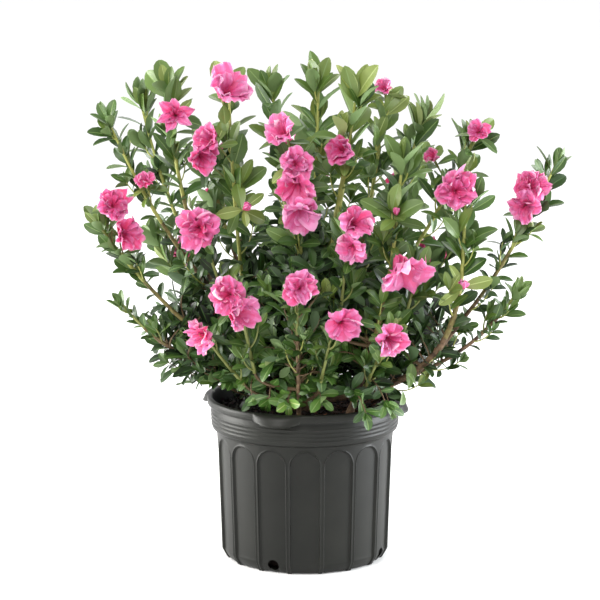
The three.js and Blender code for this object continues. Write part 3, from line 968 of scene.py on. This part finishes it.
def clearOfBlossoms(leaves):
    # Drops the leaves that would stand in a blossom or close before its face
    kept = np.ones(len(leaves["length"]), bool)
    for share in (0.35, 0.7, 1):
        point = leaves["place"] + leaves["way"] * leaves["length"][:, None] * share
        for row in blossoms:
            size = row["size"] * mm
            ball, before, beside = [bloomRoom[label] * size for label in ("ball", "ahead", "aside")]
            gap = point - row["centre"]
            ahead = gap @ row["axis"]
            aside = np.linalg.norm(gap - ahead[:, None] * row["axis"], axis=1)
            kept &= np.linalg.norm(gap, axis=1) >= ball
            kept &= (ahead <= 0) | (ahead >= before) | (aside >= beside)
    return {label: values[kept] for label, values in leaves.items()}


def growWhorl(rng, row, across, beyond, tone, order, whorl):
    # One whorl's petals, evenly round the blossom's axis with some noise in each
    size, axis, count = row["size"] * mm, row["axis"], whorl["petals"]
    turn = (np.arange(count) + 0.5 * (order % 2)) * 2 * math.pi / count
    turn = turn + rng.normal(0, 0.15, count) + rng.uniform(0, 6)
    radial = np.cos(turn)[:, None] * across + np.sin(turn)[:, None] * beyond
    start, end = np.radians(whorl["angles"])
    return {
        "radial": radial, "aside": np.cross(axis, radial), "axis": np.repeat(axis[None], count, 0),
        "foot": row["foot"] + radial * size * 0.02 + axis * size * 0.02 * order,
        "length": size * whorl["length"] * rng.uniform(0.84, 1.08, count),
        "width": size * whorl["width"] * rng.uniform(0.9, 1.12, count),
        "start": np.full(count, start), "end": end + rng.normal(0, 0.16, count),
        "ruffle": size * whorl["ruffle"] * rng.uniform(0.7, 1.3, count),
        "phase": rng.uniform(0, 6.28, count), "cup": rng.normal(0.15, 0.2, count),
        # Inner whorls take paler pinks: painted light that lifts the shade between the petals
        "tone": tone + rng.normal(0, 0.6, count) + 0.25 * order,
        "side": np.full(count, row["foot"][0]), "point": np.full(count, whorl["point"]),
    }


def growThreads(rng, row, across, beyond):
    # Stamens: thin curves that lean out from the blossom's foot
    size, count = row["size"] * mm, threadLook["count"]
    turn = rng.uniform(0, 6.28, count)
    way = row["axis"] + threadLook["lean"] * (np.cos(turn)[:, None] * across + np.sin(turn)[:, None] * beyond)
    foot = np.repeat(row["foot"][None], count, 0)
    tip = foot + way * size * rng.uniform(*threadLook["reach"], count)[:, None]
    return bentLines(foot, (foot + tip) / 2 + threadLook["bow"] * size * row["axis"], tip, 6)


def petalKinds(share, across, petals):
    # Which pink each face has: paler along the petal by a power, at its edge and in sine streaks
    deal = pinkDeal
    stripes = deal["streak"] * share * np.sin(deal["streaks"] * across[None] + 2 * petals["phase"][:, None])
    pink = deal["foot"] + deal["rise"] * share ** deal["power"]
    pink = pink + deal["edge"] * (np.abs(across) > deal["edgeFrom"]) + stripes + petals["tone"][:, None]
    return np.clip(np.round(pink), 0, len(petalPinks) - 1).astype(int)


def addPetals(petals):
    # All petals in two pieces, left and right of the middle, with a pink for each face
    points = petalPoints(petals)
    loops, starts, share, across, count = petalTemplate()
    kinds = petalKinds(share, across, petals)
    glow = {"Subsurface_Weight": petalLook["glow"], "Subsurface_Scale": petalLook["glowDepth"],
            "Subsurface_Radius": petalLook["glowTint"]}
    paints = [plainMaterial(f"petal pink {i + 1}", code, petalLook["roughness"], **glow)
              for i, code in enumerate(petalPinks)]
    for label, mine in (("left", petals["side"] < 0), ("right", petals["side"] >= 0)):
        manyLoops, manyStarts = repeated(loops, starts, count, int(mine.sum()))
        piece = addPiece("petals_" + label, points[mine].reshape(-1, 3), manyLoops, manyStarts, paints,
                         kinds[mine].ravel(), sharp=75)
        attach(piece, "root")
    print("petals:", len(points))


def addStamens(lines):
    radii = taper(lines, threadLook["thick"], threadLook["thin"])
    pinkThread = plainMaterial("stamen", "#d2487f", 0.6)
    stamens = addTubes("stamens", [(lines, radii, np.zeros(len(lines), int))], 4, [pinkThread])
    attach(stamens, "root")


def addStalks():
    # The twig that each blossom stands on, swollen at its end
    lines = np.concatenate([row["twig"] for row in blossoms])
    radii = taper(lines, stalkLook["foot"], stalkLook["top"])
    radii[:, -2:] = stalkLook["swelling"]
    stalks = addTubes("blossom_stalks", [(lines, radii, np.zeros(len(lines), int))], 6, [twigPaints[olive]])
    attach(stalks, "root")


def addBlossoms():
    # Every blossom's petals and stamens, grown one after the other round its own axis
    rng = np.random.default_rng(9300)
    groups, threads = [], []
    for row in blossoms:
        across = unit(np.cross(row["axis"], np.array([0.3, 0.2, 0.93])))
        beyond = np.cross(row["axis"], across)
        tone = rng.uniform(-0.5, 0.9)
        for order, values in enumerate(whorls[row["kind"]]):
            groups.append(growWhorl(rng, row, across, beyond, tone, order, dict(zip(whorlKeys, values))))
        if row["kind"] != "bud":
            threads.append(growThreads(rng, row, across, beyond))
    addPetals({label: np.concatenate([group[label] for group in groups]) for label in groups[0]})
    addStamens(np.concatenate(threads))
    addStalks()


def leafBlossomTwigs():
    # A loose collar of leaves behind each blossom, with the rest down its twig
    rng = np.random.default_rng(8400)
    for row in blossoms:
        tone = lookOf(row["mass"])["tone"]
        leavesOf[row["mass"]].append(sprout(rng, row["twig"], sized(collarLook, row["mass"]), tone))


placeBlossoms()
leafBlossomTwigs()


# What leaves keep out of, in metres: the pot to its outside and top, its wall from the inside, the potting
# mix, the ground, and how far past the size of the whole plant a leaf may reach
leafRoom = {"outside": 0.141, "top": 0.239, "wall": 0.128, "overMix": 0.004, "ground": 0.01, "past": 0.012}


def insidePot(point):
    # Whether points are in the pot or its potting mix, or under the ground
    radius, height = np.hypot(point[..., 0], point[..., 1]), point[..., 2]
    low = (radius < leafRoom["outside"]) & (height < leafRoom["top"])
    solid = (radius > leafRoom["wall"]) | (height < soilTop + leafRoom["overMix"])
    return (low & solid) | (height < leafRoom["ground"])


def keepClear(leaves):
    # Drops leaves that would reach into the pot, hang over the sides of its rim or reach past the size of
    # the whole plant
    ends = leaves["place"] + leaves["way"] * leaves["length"][:, None]
    middles = (leaves["place"] + ends) / 2
    low, high = np.array(cadBox)
    kept = ((ends > low - leafRoom["past"]) & (ends < high + leafRoom["past"])).all(1)
    for point in (ends, middles):
        kept &= ~insidePot(point) & ~overRimSide(point)
    return {label: values[kept] for label, values in leaves.items()}


leafPaints = []
for label, codes, roughness in (
        ("leaf green", leafGreens, leafShine["green"]), ("fresh green", freshGreens, leafShine["green"]),
        ("leaf rib", ribGreens, leafShine["rib"]), ("leaf underside", underGreens, leafShine["underside"])):
    leafPaints += [plainMaterial(f"{label} {i + 1}", code, roughness) for i, code in enumerate(codes)]


def addLeaves():
    # Each leaf's top takes its shade among its greens, and its rib and underside the nearest of three
    total = 0
    old, fresh = len(leafGreens), len(freshGreens)
    for name in massNames:
        groups = leavesOf[name]
        leaves = {label: np.concatenate([group[label] for group in groups]) for label in groups[0]}
        leaves = clearOfBlossoms(keepClear(leaves))
        form = leafForms["small" if name.startswith("core_") else "large"]
        loops, starts, kinds, count = leafTemplate(form)
        points = leafPoints(leaves, form)
        tint = np.clip((leaves["shade"] * old).astype(int), 0, old - 1)
        freshTint = old + np.clip((leaves["shade"] * fresh).astype(int), 0, fresh - 1)
        tint = np.where(leaves["fresh"] > 0, freshTint, tint)[:, None]
        third = np.clip((leaves["shade"] * 3).astype(int), 0, 2)[:, None]
        kinds = np.choose(kinds[None], [tint, old + fresh + third, old + fresh + 3 + third])
        loops, starts = repeated(loops, starts, count, len(points))
        piece = addPiece("leaves_" + name, points.reshape(-1, 3), loops, starts, leafPaints, kinds.ravel(),
                         sharp=60)
        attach(piece, "root")
        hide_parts("foliage_" + name)
        total += len(points)
    print("leaves:", total)


addLeaves()

twigPaints = [
    plainMaterial("young twig", "#979c50", 0.5),
    plainMaterial("woody twig", "#5e4b33", 0.75),
    plainMaterial("olive twig", "#747a40", 0.6),
]


def addTwigs():
    # All twigs but those whose tips are over the sides of the rim
    for label, groups in twigGroups.items():
        groups = [[part[~overRimSide(group[0][:, -1])] for part in group] for group in groups]
        twigs = addTubes("twigs_" + label, groups, 5, twigPaints)
        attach(twigs, "root")
        print("twigs:", label, sum(len(group[0]) for group in groups))


addTwigs()
addBlossoms()


# Boughs and stump

barkLook = {
    "colours": ["#35271b", "#503c2a", "#6b543d", "#7f694e"], "patchScale": 90, "from": 0.32, "to": 0.68,
    "grainScale": 420, "roughness": (0.65, 0.95), "bump": 0.6, "bumpDepth": 0.0006,
}
barks = [
    patternMaterial("old bark", barkLook),
    patternMaterial("ripening bark", dict(
        barkLook, colours=["#453a22", "#5e522f", "#746a3d", "#847a46"], bump=0.4)),
    patternMaterial("young bark", dict(
        barkLook, colours=["#74783a", "#898c46", "#9fa155"], roughness=(0.5, 0.7), bump=0.2)),
]
# Radii as shares of the bough solid's mean girth, at the foot and how much they fall to the tip
limbShape = {
    "sides": 14, "rings": 90, "past": 8, "girth": 0.86, "foot": 1.24, "fall": 0.8, "thinnest": 0.0026,
    "flare": 0.35, "flareEnds": 14, "ridge": 0.07, "smallRidge": 0.05, "grain": 0.03,
    "knots": 7, "knotRise": 0.16, "knotLength": 0.008, "ripeFrom": (0.25, 0.4), "ripeStep": 0.065,
}


def limbSwell(share, rng, order):
    # How much a limb's bark stands out at each ring and side: long sine ridges that wind along it, grain,
    # and small knots
    look = limbShape
    down, turn = share[:, None], np.arange(look["sides"])[None] * 2 * math.pi / look["sides"]
    ridge = look["ridge"] * np.sin(3 * turn + 9 * down + order)
    ridge = ridge + look["smallRidge"] * np.sin(5 * turn - 17 * down)
    ridge = ridge + rng.normal(0, look["grain"], ridge.shape)
    knots = np.exp(-((down - rng.uniform(0.1, 0.95, look["knots"])[None]) / look["knotLength"]) ** 2).sum(1)
    return (1 + ridge + knots[:, None] * look["knotRise"])[..., None]


def addLimbs():
    # A tube along each bough's part of its line. Its radius falls evenly from a flare at the foot that fades
    # out exponentially, and its bark swells.
    look = limbShape
    rings, sides = look["rings"], look["sides"]
    for order, name in enumerate(boughNames):
        rng = np.random.default_rng(5200 + order)
        line = limbLines[name]
        skin = skinPoints("bough_" + name)[0]
        far = skin[((skin - line[0]) ** 2).sum(1).argmax()]
        last = min(stations, ((line - far) ** 2).sum(1).argmin() + look["past"])
        path = resample(line[:last], rings)
        share = np.linspace(0, 1, rings)
        radii = look["girth"] * spread(line, "bough_" + name) * (look["foot"] - look["fall"] * share)
        radii = np.maximum(radii, look["thinnest"]) * (1 + look["flare"] * np.exp(-share * look["flareEnds"]))
        circles = tubePoints(path[None], np.ones((1, rings)), sides)[0][:-2].reshape(rings, sides, 3)
        swell = radii[:, None, None] * limbSwell(share, rng, order)
        circles = path[:, None] + (circles - path[:, None]) * swell
        points = np.concatenate([circles.reshape(-1, 3), path[[0, -1]]])
        loops, starts = tubeFaces(rings, sides)
        ripe = np.clip((path[:-1, 2] - rng.uniform(*look["ripeFrom"])) / look["ripeStep"], 0, 2).astype(int)
        kinds = np.concatenate([np.repeat(ripe, sides), np.full(sides, ripe[0]), np.full(sides, ripe[-1])])
        piece = addPiece("limb_" + name, points, loops, starts, barks, kinds)
        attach(piece, "root")
        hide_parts("bough_" + name)


addLimbs()


stumpShape = {
    "rows": 40, "columns": 72, "foot": 0.029, "top": 0.016, "power": 2.4, "sunk": 0.006, "over": -0.004,
    "lobes": 0.09, "smallLobes": 0.04, "grain": 0.03, "domeFrom": 0.86,
}


def addStump():
    # A lobed, flaring stump: its radius falls from the foot to the top by a power, rises in lobes and in a
    # fine grain, and closes over the top as a quarter circle
    look = stumpShape
    rows, columns = look["rows"], look["columns"]
    share = np.linspace(0, 1, rows)[:, None]
    turn = np.arange(columns)[None] * 2 * math.pi / columns
    radius = look["top"] + (look["foot"] - look["top"]) * (1 - share) ** look["power"]
    lobes = look["lobes"] * np.cos(5 * turn + 2 * share) + look["smallLobes"] * np.cos(9 * turn - 5 * share)
    radius = radius * (1 + lobes) * (1 + look["grain"] * np.sin(27 * turn + 6 * np.sin(7 * share)))
    foot, top = soilTop - look["sunk"], stumpTop + look["over"]
    height = foot + (top - foot) * share + 0 * turn
    dome = np.clip((share - look["domeFrom"]) / (1 - look["domeFrom"]), 0, 1)
    radius = radius * np.maximum(np.sqrt(1 - dome ** 2), 0.02)
    rings = np.stack([radius * np.cos(turn), radius * np.sin(turn), height], -1).reshape(-1, 3)
    ends = np.array([[0, 0, height[0, 0]], [0, 0, height[-1, 0]]])
    loops, starts = tubeFaces(rows, columns)
    piece = addPiece("stump", np.concatenate([rings, ends]), loops, starts, barks[:1])
    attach(piece, "root")
    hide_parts("root_crown")


addStump()
print("boughs and stump made")


# Pot

# The pot's profile in millimetres, from the middle of its underside up its outside, over the lip and down
# its inside: radius, height, whether the flutes are sunk there, and how far the ears push it out and down
potShape = {
    "underside": [(60, 0, 0), (104, 0, 0), (108.8, 0, 0.9), (110.6, 0.3, 1)],
    "wall": {"heights": [0.6, 3, 12, 14.5, 185.5], "radii": [111.4, 113.4, 118.4, 119.7, 125.6]},
    "step": [(126.8, 186.8), (129.6, 188.4), (131.8, 189.8), (132.6, 191.3), (132.8, 193.4)],
    "ridges": {"heights": [195.6, 201.2, 207, 212.8], "rise": 0.85, "foot": 132.9, "slope": 0.055},
    "lip": [
        (133.9, 215, 0, 0), (133.7, 217.4, 0, -0.4), (132.9, 219.4, 0.2, -1), (132.5, 221.4, 0.6, -1.8),
        (132.9, 223.2, 2, -3), (135.6, 223.7, 6.4, -5), (138.5, 224.1, 11, -6), (139.1, 224.9, 12.4, -5.7),
        (139.2, 226, 12.3, -4.8), (139.2, 227.4, 10.8, -4), (139.2, 229.6, 9.4, -2.4),
        (139, 231.8, 7.6, -1.1), (138.4, 233.6, 5.2, -0.3), (137.2, 234.7, 2.6, 0), (135.6, 235, 0.6, 0),
        (133.8, 234.8, 0, 0), (132.6, 234, 0, 0), (132, 232.4, 0, 0), (131.3, 228, 0, 0), (130.8, 222, 0, 0),
        (130.3, 206, 0, 0), (130, 190, 0, 0),
    ],
    "inside": {"heights": [4, 12, 20, 182, 183], "radii": [110.4, 113.4, 116, 121.5, 121.6]},
    "bottom": [(110.2, 4.1), (60, 4)],
    "flutes": 16, "fluteHalfAngle": 9.9, "fluteDepth": 2.5, "fluteEdge": 1.1, "fluteBead": 0.75,
    "archFoot": 158, "footDepth": -1.2, "footLift": 1.1, "ears": 4, "firstEar": -17, "earHalfAngle": 14.5,
    "holes": [-22.5, 67.5, 157.5, 247.5], "holeHeight": 12, "holeRadius": 8.4,
}
plasticLook = {
    "colours": ["#121310", "#171815", "#1d1e1a"], "patchScale": 9, "grainScale": 700,
    "roughness": (0.38, 0.46), "bump": 0.1, "bumpDepth": 0.0002, "shine": 0.22,
}
holeCells = 10  # how many faces of the wall a hole takes up each way
fluteColumns = [0, 0.82, 1.64, 2.46, 3.28, 4.1, 4.65, 5.3, 6.0, 6.7, 7.3, 7.9, 8.4, 8.75, 9.0, 9.25, 9.5, 9.7,
                9.9, 10.15, 10.55, 11.25]


def smooth(share):
    share = np.clip(share, 0, 1)
    return share * share * (3 - 2 * share)


def potProfile():
    # Rows of radius, height, flute share, ear push and ear drop, and the rows where the holes start outside
    # and inside
    look = potShape
    hole, span = look["holeHeight"], look["holeRadius"]
    block = np.linspace(hole - span, hole + span, holeCells + 1)
    arches = np.arange(156.5, 180.4, 0.9)
    wall = [0.6, 1.6, 3, *block, 21, 23.5, 26, 40, 75, 115, 150, *arches, 181.5, 183.5, 185.5]
    wallRadius = np.interp(wall, look["wall"]["heights"], look["wall"]["radii"])
    ridges = look["ridges"]
    ridgeHeight = (np.array(ridges["heights"])[:, None] + [-1.5, -0.8, 0, 0.8, 1.5]).ravel()
    rise = np.tile([0, 0.6, 1, 0.6, 0], len(ridges["heights"])) * ridges["rise"]
    ridgeRadius = ridges["foot"] + ridges["slope"] * (ridgeHeight - 193) + rise
    inner = np.concatenate([[182, 115, 26], block[::-1]])
    innerRadius = np.interp(inner, look["inside"]["heights"], look["inside"]["radii"])
    rows = [(r, z, fluted, 0, 0) for r, z, fluted in look["underside"]]
    rows += [(r, z, 1, 0, 0) for r, z in zip(wallRadius, wall)]
    rows += [(r, z, 0, 0, 0) for r, z in [*look["step"], *zip(ridgeRadius, ridgeHeight)]]
    rows += [(r, z, 0, push, drop) for r, z, push, drop in look["lip"]]
    rows += [(r, z, 0, 0, 0) for r, z in [*zip(innerRadius, inner), *look["bottom"]]]
    first = len(look["underside"]) + 3
    last = len(rows) - len(look["bottom"]) - len(block)
    return np.array(rows, float), first, last


def archDepth(offset, height, radius):
    # How far inside a flute's round-topped outline a point is, in millimetres, made a depth share by a smooth
    # step, and the share of a bead that runs along the outline, which is a bell curve across it
    half = math.radians(potShape["fluteHalfAngle"]) * radius
    across = np.abs(np.radians(offset)) * radius
    over = np.maximum(0, height - potShape["archFoot"])
    inside = half - np.hypot(across, over)
    return smooth(inside / potShape["fluteEdge"]), np.exp(-((inside + 0.45) / 0.6) ** 2)


def roundHoles(angle, height, radius):
    # Moves the points about each drain hole so that the square block of faces there becomes a disc: each goes
    # in or out along its ray by the ratio of its square to its round distance, fading out beyond the block
    look = potShape
    span = look["holeRadius"]
    for hole in look["holes"]:
        offset = (angle - hole + 180) % 360 - 180
        x, y = np.radians(offset) * radius, height - look["holeHeight"]
        square = np.maximum(np.abs(x), np.abs(y)) / span
        near = (square < 1.55) & (height < 30)
        scale = np.where(near & (square > 0.01), square * span / np.maximum(np.hypot(x, y), 1e-6), 1)
        mix = np.where(near, 1 - smooth((square - 1) / 0.55), 0)
        angle = angle + np.degrees(x * (scale - 1) * mix / radius)
        height = height + y * (scale - 1) * mix
    return angle, height


def holeTunnel(columns, low, outerFirst, innerFirst):
    # Faces through the wall, from the edge of the hole's block outside to the edge of the one inside
    side = np.arange(holeCells)
    flat, full = 0 * side, np.full(holeCells, holeCells)
    down = np.concatenate([side, full, holeCells - side, flat])
    over = np.concatenate([flat, side, full, holeCells - side])
    outer = (outerFirst + down) * columns + (low + over) % columns
    inner = (innerFirst + holeCells - down) * columns + (low + over) % columns
    return np.stack([outer, np.roll(outer, -1), np.roll(inner, -1), inner], 1)


def faceOut(piece):
    # Turns every face of a closed mesh outwards
    shape = bmesh.new()
    shape.from_mesh(piece.data)
    bmesh.ops.recalc_face_normals(shape, faces=shape.faces)
    shape.to_mesh(piece.data)
    shape.free()


def potPoints(rows):
    # The profile turned round the middle, with flutes sunk in its wall, ears pushed out of its lip by a
    # cosine, and round holes through its foot, as a grid of points
    look = potShape
    half = np.array(fluteColumns)
    offsets = np.concatenate([-half[:0:-1], half[:-1]])
    flutes = np.arange(look["flutes"])[:, None] * 360 / look["flutes"]
    angle = (flutes + offsets[None]).ravel()[None] + 0 * rows[:, :1]
    offset = np.tile(offsets, look["flutes"])[None]
    radius, height, fluted, push, drop = [rows[:, i:i + 1] + 0 * angle for i in range(5)]
    sunk, bead = archDepth(offset, height, radius)
    quarter = 360 / look["ears"]
    fromEar = (angle - look["firstEar"] + quarter / 2) % quarter - quarter / 2
    bulge = np.cos(np.clip(np.abs(fromEar) / look["earHalfAngle"], 0, 1) * math.pi / 2) ** 0.8
    deep = look["fluteDepth"] + look["footDepth"] * smooth((20 - height) / 14)
    moved = radius + (look["fluteBead"] * bead - deep * sunk) * fluted + push * bulge
    lifted = height + drop * bulge + look["footLift"] * sunk * fluted * smooth((9 - height) / 9)
    angle, lifted = roundHoles(angle, lifted, np.maximum(radius, 1))
    turn = np.radians(angle)
    return np.stack([moved * np.sin(turn), -moved * np.cos(turn), lifted], -1) * mm


def drillHoles(count, columns, outerFirst, innerFirst):
    # Which faces of the pot's grid the holes take out, and the faces of their tunnels
    look = potShape
    row, column = np.divmod(np.arange((count - 1) * columns), columns)
    cut, tunnels = np.zeros(len(row), bool), []
    for hole in look["holes"]:
        flute = int(round((hole % 360) / 360 * look["flutes"]))
        middle = flute * columns // look["flutes"] + len(fluteColumns) - 1
        low = middle - holeCells // 2
        inColumns = (column - low) % columns < holeCells
        for first in (outerFirst, innerFirst):
            cut |= inColumns & (row >= first) & (row < first + holeCells)
        tunnels.append(holeTunnel(columns, low, outerFirst, innerFirst))
    return cut, tunnels


def addPot():
    rows, outerFirst, innerFirst = potProfile()
    grid = potPoints(rows)
    count, columns = grid.shape[:2]
    points = np.concatenate([grid.reshape(-1, 3), [[0, 0, 0], [0, 0, 0.004]]])
    cut, tunnels = drillHoles(count, columns, outerFirst, innerFirst)
    faces = quads(count, columns, True)[~cut]
    loops, starts = asFaces(faces, *tunnels, *endCaps(count, columns))
    used, loops = np.unique(loops, return_inverse=True)
    plastic = patternMaterial("pot plastic", plasticLook)
    piece = addPiece("nursery_pot", points[used], loops, starts, [plastic], sharp=50)
    faceOut(piece)
    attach(piece, "root")
    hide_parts("pot")
    print("pot faces:", len(starts))


addPot()


# Potting mix

soilLook = {
    "colours": ["#0f0b09", "#1d1510", "#2c1d14", "#3d2818"], "patchScale": 60, "grainScale": 500,
    "roughness": (0.8, 1), "bump": 1, "bumpDepth": 0.002,
}
chipPaints = [plainMaterial(f"bark chip {i + 1}", code, 0.85) for i, code in enumerate(
    ["#140f0c", "#241912", "#38241a", "#4f2f1c", "#6b4022", "#8a5c34"])]
# The bed's side in millimetres, as radius and height, and its top in metres
bedShape = {
    "side": [(60, 4.6), (96, 4.6), (96, 22), (115.6, 30), (118, 95), (121, 181), (129.4, 190.5),
             (129.6, 210)],
    "columns": 144, "rings": 48, "topRadius": 0.1293, "middle": 0.004,
}
# Chips in metres: the usual size, how much it differs as a power of e, and the greatest size
chipShape = {
    "count": 2600, "within": 0.127, "length": (0.0042, 0.45), "width": (0.0022, 0.35),
    "thickness": (0.0006, 0.0016), "greatest": (0.012, 0.006, 0.002), "corners": (0.6, 1.1), "tilt": 0.28,
    "edge": 0.1285, "over": (0.0012, 0.0024),
}


def soilRelief(x, y):
    # The bed's lumps: products of two sine waves that cross and bend one another, a coarse and a fine one
    waves = np.sin(91 * x + 2 * np.sin(57 * y)) * np.sin(83 * y + 1.7 * np.sin(71 * x))
    fine = np.sin(310 * x + 3 * np.sin(190 * y)) * np.sin(270 * y + 2 * np.sin(230 * x))
    return 0.0014 * waves + 0.0009 * fine - 0.0018


def addSoil():
    # A closed bed that fills the pot: down the inside of the wall, and a lumpy top in rings
    columns = bedShape["columns"]
    turn = np.arange(columns)[None] * 2 * math.pi / columns
    side = np.array(bedShape["side"]) * mm
    rings = np.linspace(bedShape["topRadius"], bedShape["middle"], bedShape["rings"])[:, None] + 0 * turn
    top = soilTop + soilRelief(rings * np.cos(turn), rings * np.sin(turn))
    radius = np.concatenate([side[:, :1] + 0 * turn, rings])
    height = np.concatenate([side[:, 1:] + 0 * turn, top])
    points = np.stack([radius * np.cos(turn), radius * np.sin(turn), height], -1).reshape(-1, 3)
    points = np.concatenate([points, [[0, 0, side[0, 1]], [0, 0, soilTop]]])
    loops, starts = tubeFaces(len(radius), columns)
    piece = addPiece("soil_bed", points, loops, starts, [patternMaterial("moist bark mix", soilLook)])
    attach(piece, "root")
    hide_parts("potting_mix")


def addChips():
    # Chips of bark: boxes with uneven corners that lie about level, spread evenly over the bed
    look = chipShape
    count = look["count"]
    rng = np.random.default_rng(640)
    index = np.arange(count)
    radius = look["within"] * np.sqrt((index + 0.5) / count)
    turn = goldenAngle * index + rng.normal(0, 0.05, count)
    x, y = radius * np.cos(turn), radius * np.sin(turn)
    size = [rng.lognormal(math.log(usual), noise, count) for usual, noise in (look["length"], look["width"])]
    size = np.minimum(np.stack([*size, rng.uniform(*look["thickness"], count)], 1), look["greatest"])
    corner = np.array([(i, j, k) for i in (-1, 1) for j in (-1, 1) for k in (-1, 1)], float)
    shape = corner[None] * size[:, None] * rng.uniform(*look["corners"], (count, 8, 3))
    normal = unit(up + rng.normal(0, look["tilt"], (count, 3)))
    first = unit(np.cross(normal, np.stack([np.cos(7 * turn), np.sin(7 * turn), 0 * turn], 1)))
    axes = np.stack([first, np.cross(normal, first), normal], 1)
    centre = np.stack([x, y, soilTop + soilRelief(x, y) + rng.uniform(*look["over"], count)], 1)
    room = (look["edge"] - 1.6 * size[:, :1]) / np.maximum(radius, 1e-6)[:, None]
    centre[:, :2] *= np.minimum(1, room)
    points = centre[:, None] + np.einsum("nci,nix->ncx", shape, axes)
    box = np.array([[0, 1, 3, 2], [4, 6, 7, 5], [0, 4, 5, 1], [2, 3, 7, 6], [0, 2, 6, 4], [1, 5, 7, 3]])
    loops, starts = repeated(box.ravel(), np.arange(6) * 4, 8, count)
    warm = np.clip(x / 0.13, -1, 1)
    kinds = np.repeat(np.clip(rng.normal(1.5 + 1.3 * warm, 1.2, count), 0, 5).astype(int), 6)
    piece = addPiece("bark_chips", points.reshape(-1, 3), loops, starts, chipPaints, kinds, sharp=30)
    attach(piece, "root")


addSoil()
addChips()
print("potting mix made")


def addFloor():
    # A round plain floor under the pot
    bpy.ops.mesh.primitive_circle_add(
        vertices=studio["floorCorners"], radius=studio["floorRadius"], fill_type="NGON")
    floor = bpy.context.object
    floor.name = "paleFloor"
    pale = plainMaterial("pale floor", "#ffffff", studio["floorRoughness"])
    sockets = pale.node_tree.nodes["Principled BSDF"].inputs
    sockets["Base Color"].default_value = [studio["floorTint"]] * 3 + [1]
    sockets["Emission Color"].default_value = (1, 1, 1, 1)
    sockets["Emission Strength"].default_value = studio["floorGlow"]
    floor.data.materials.append(pale)


addCamera()
addLamps()
addFloor()
print("camera, lamps and floor made")
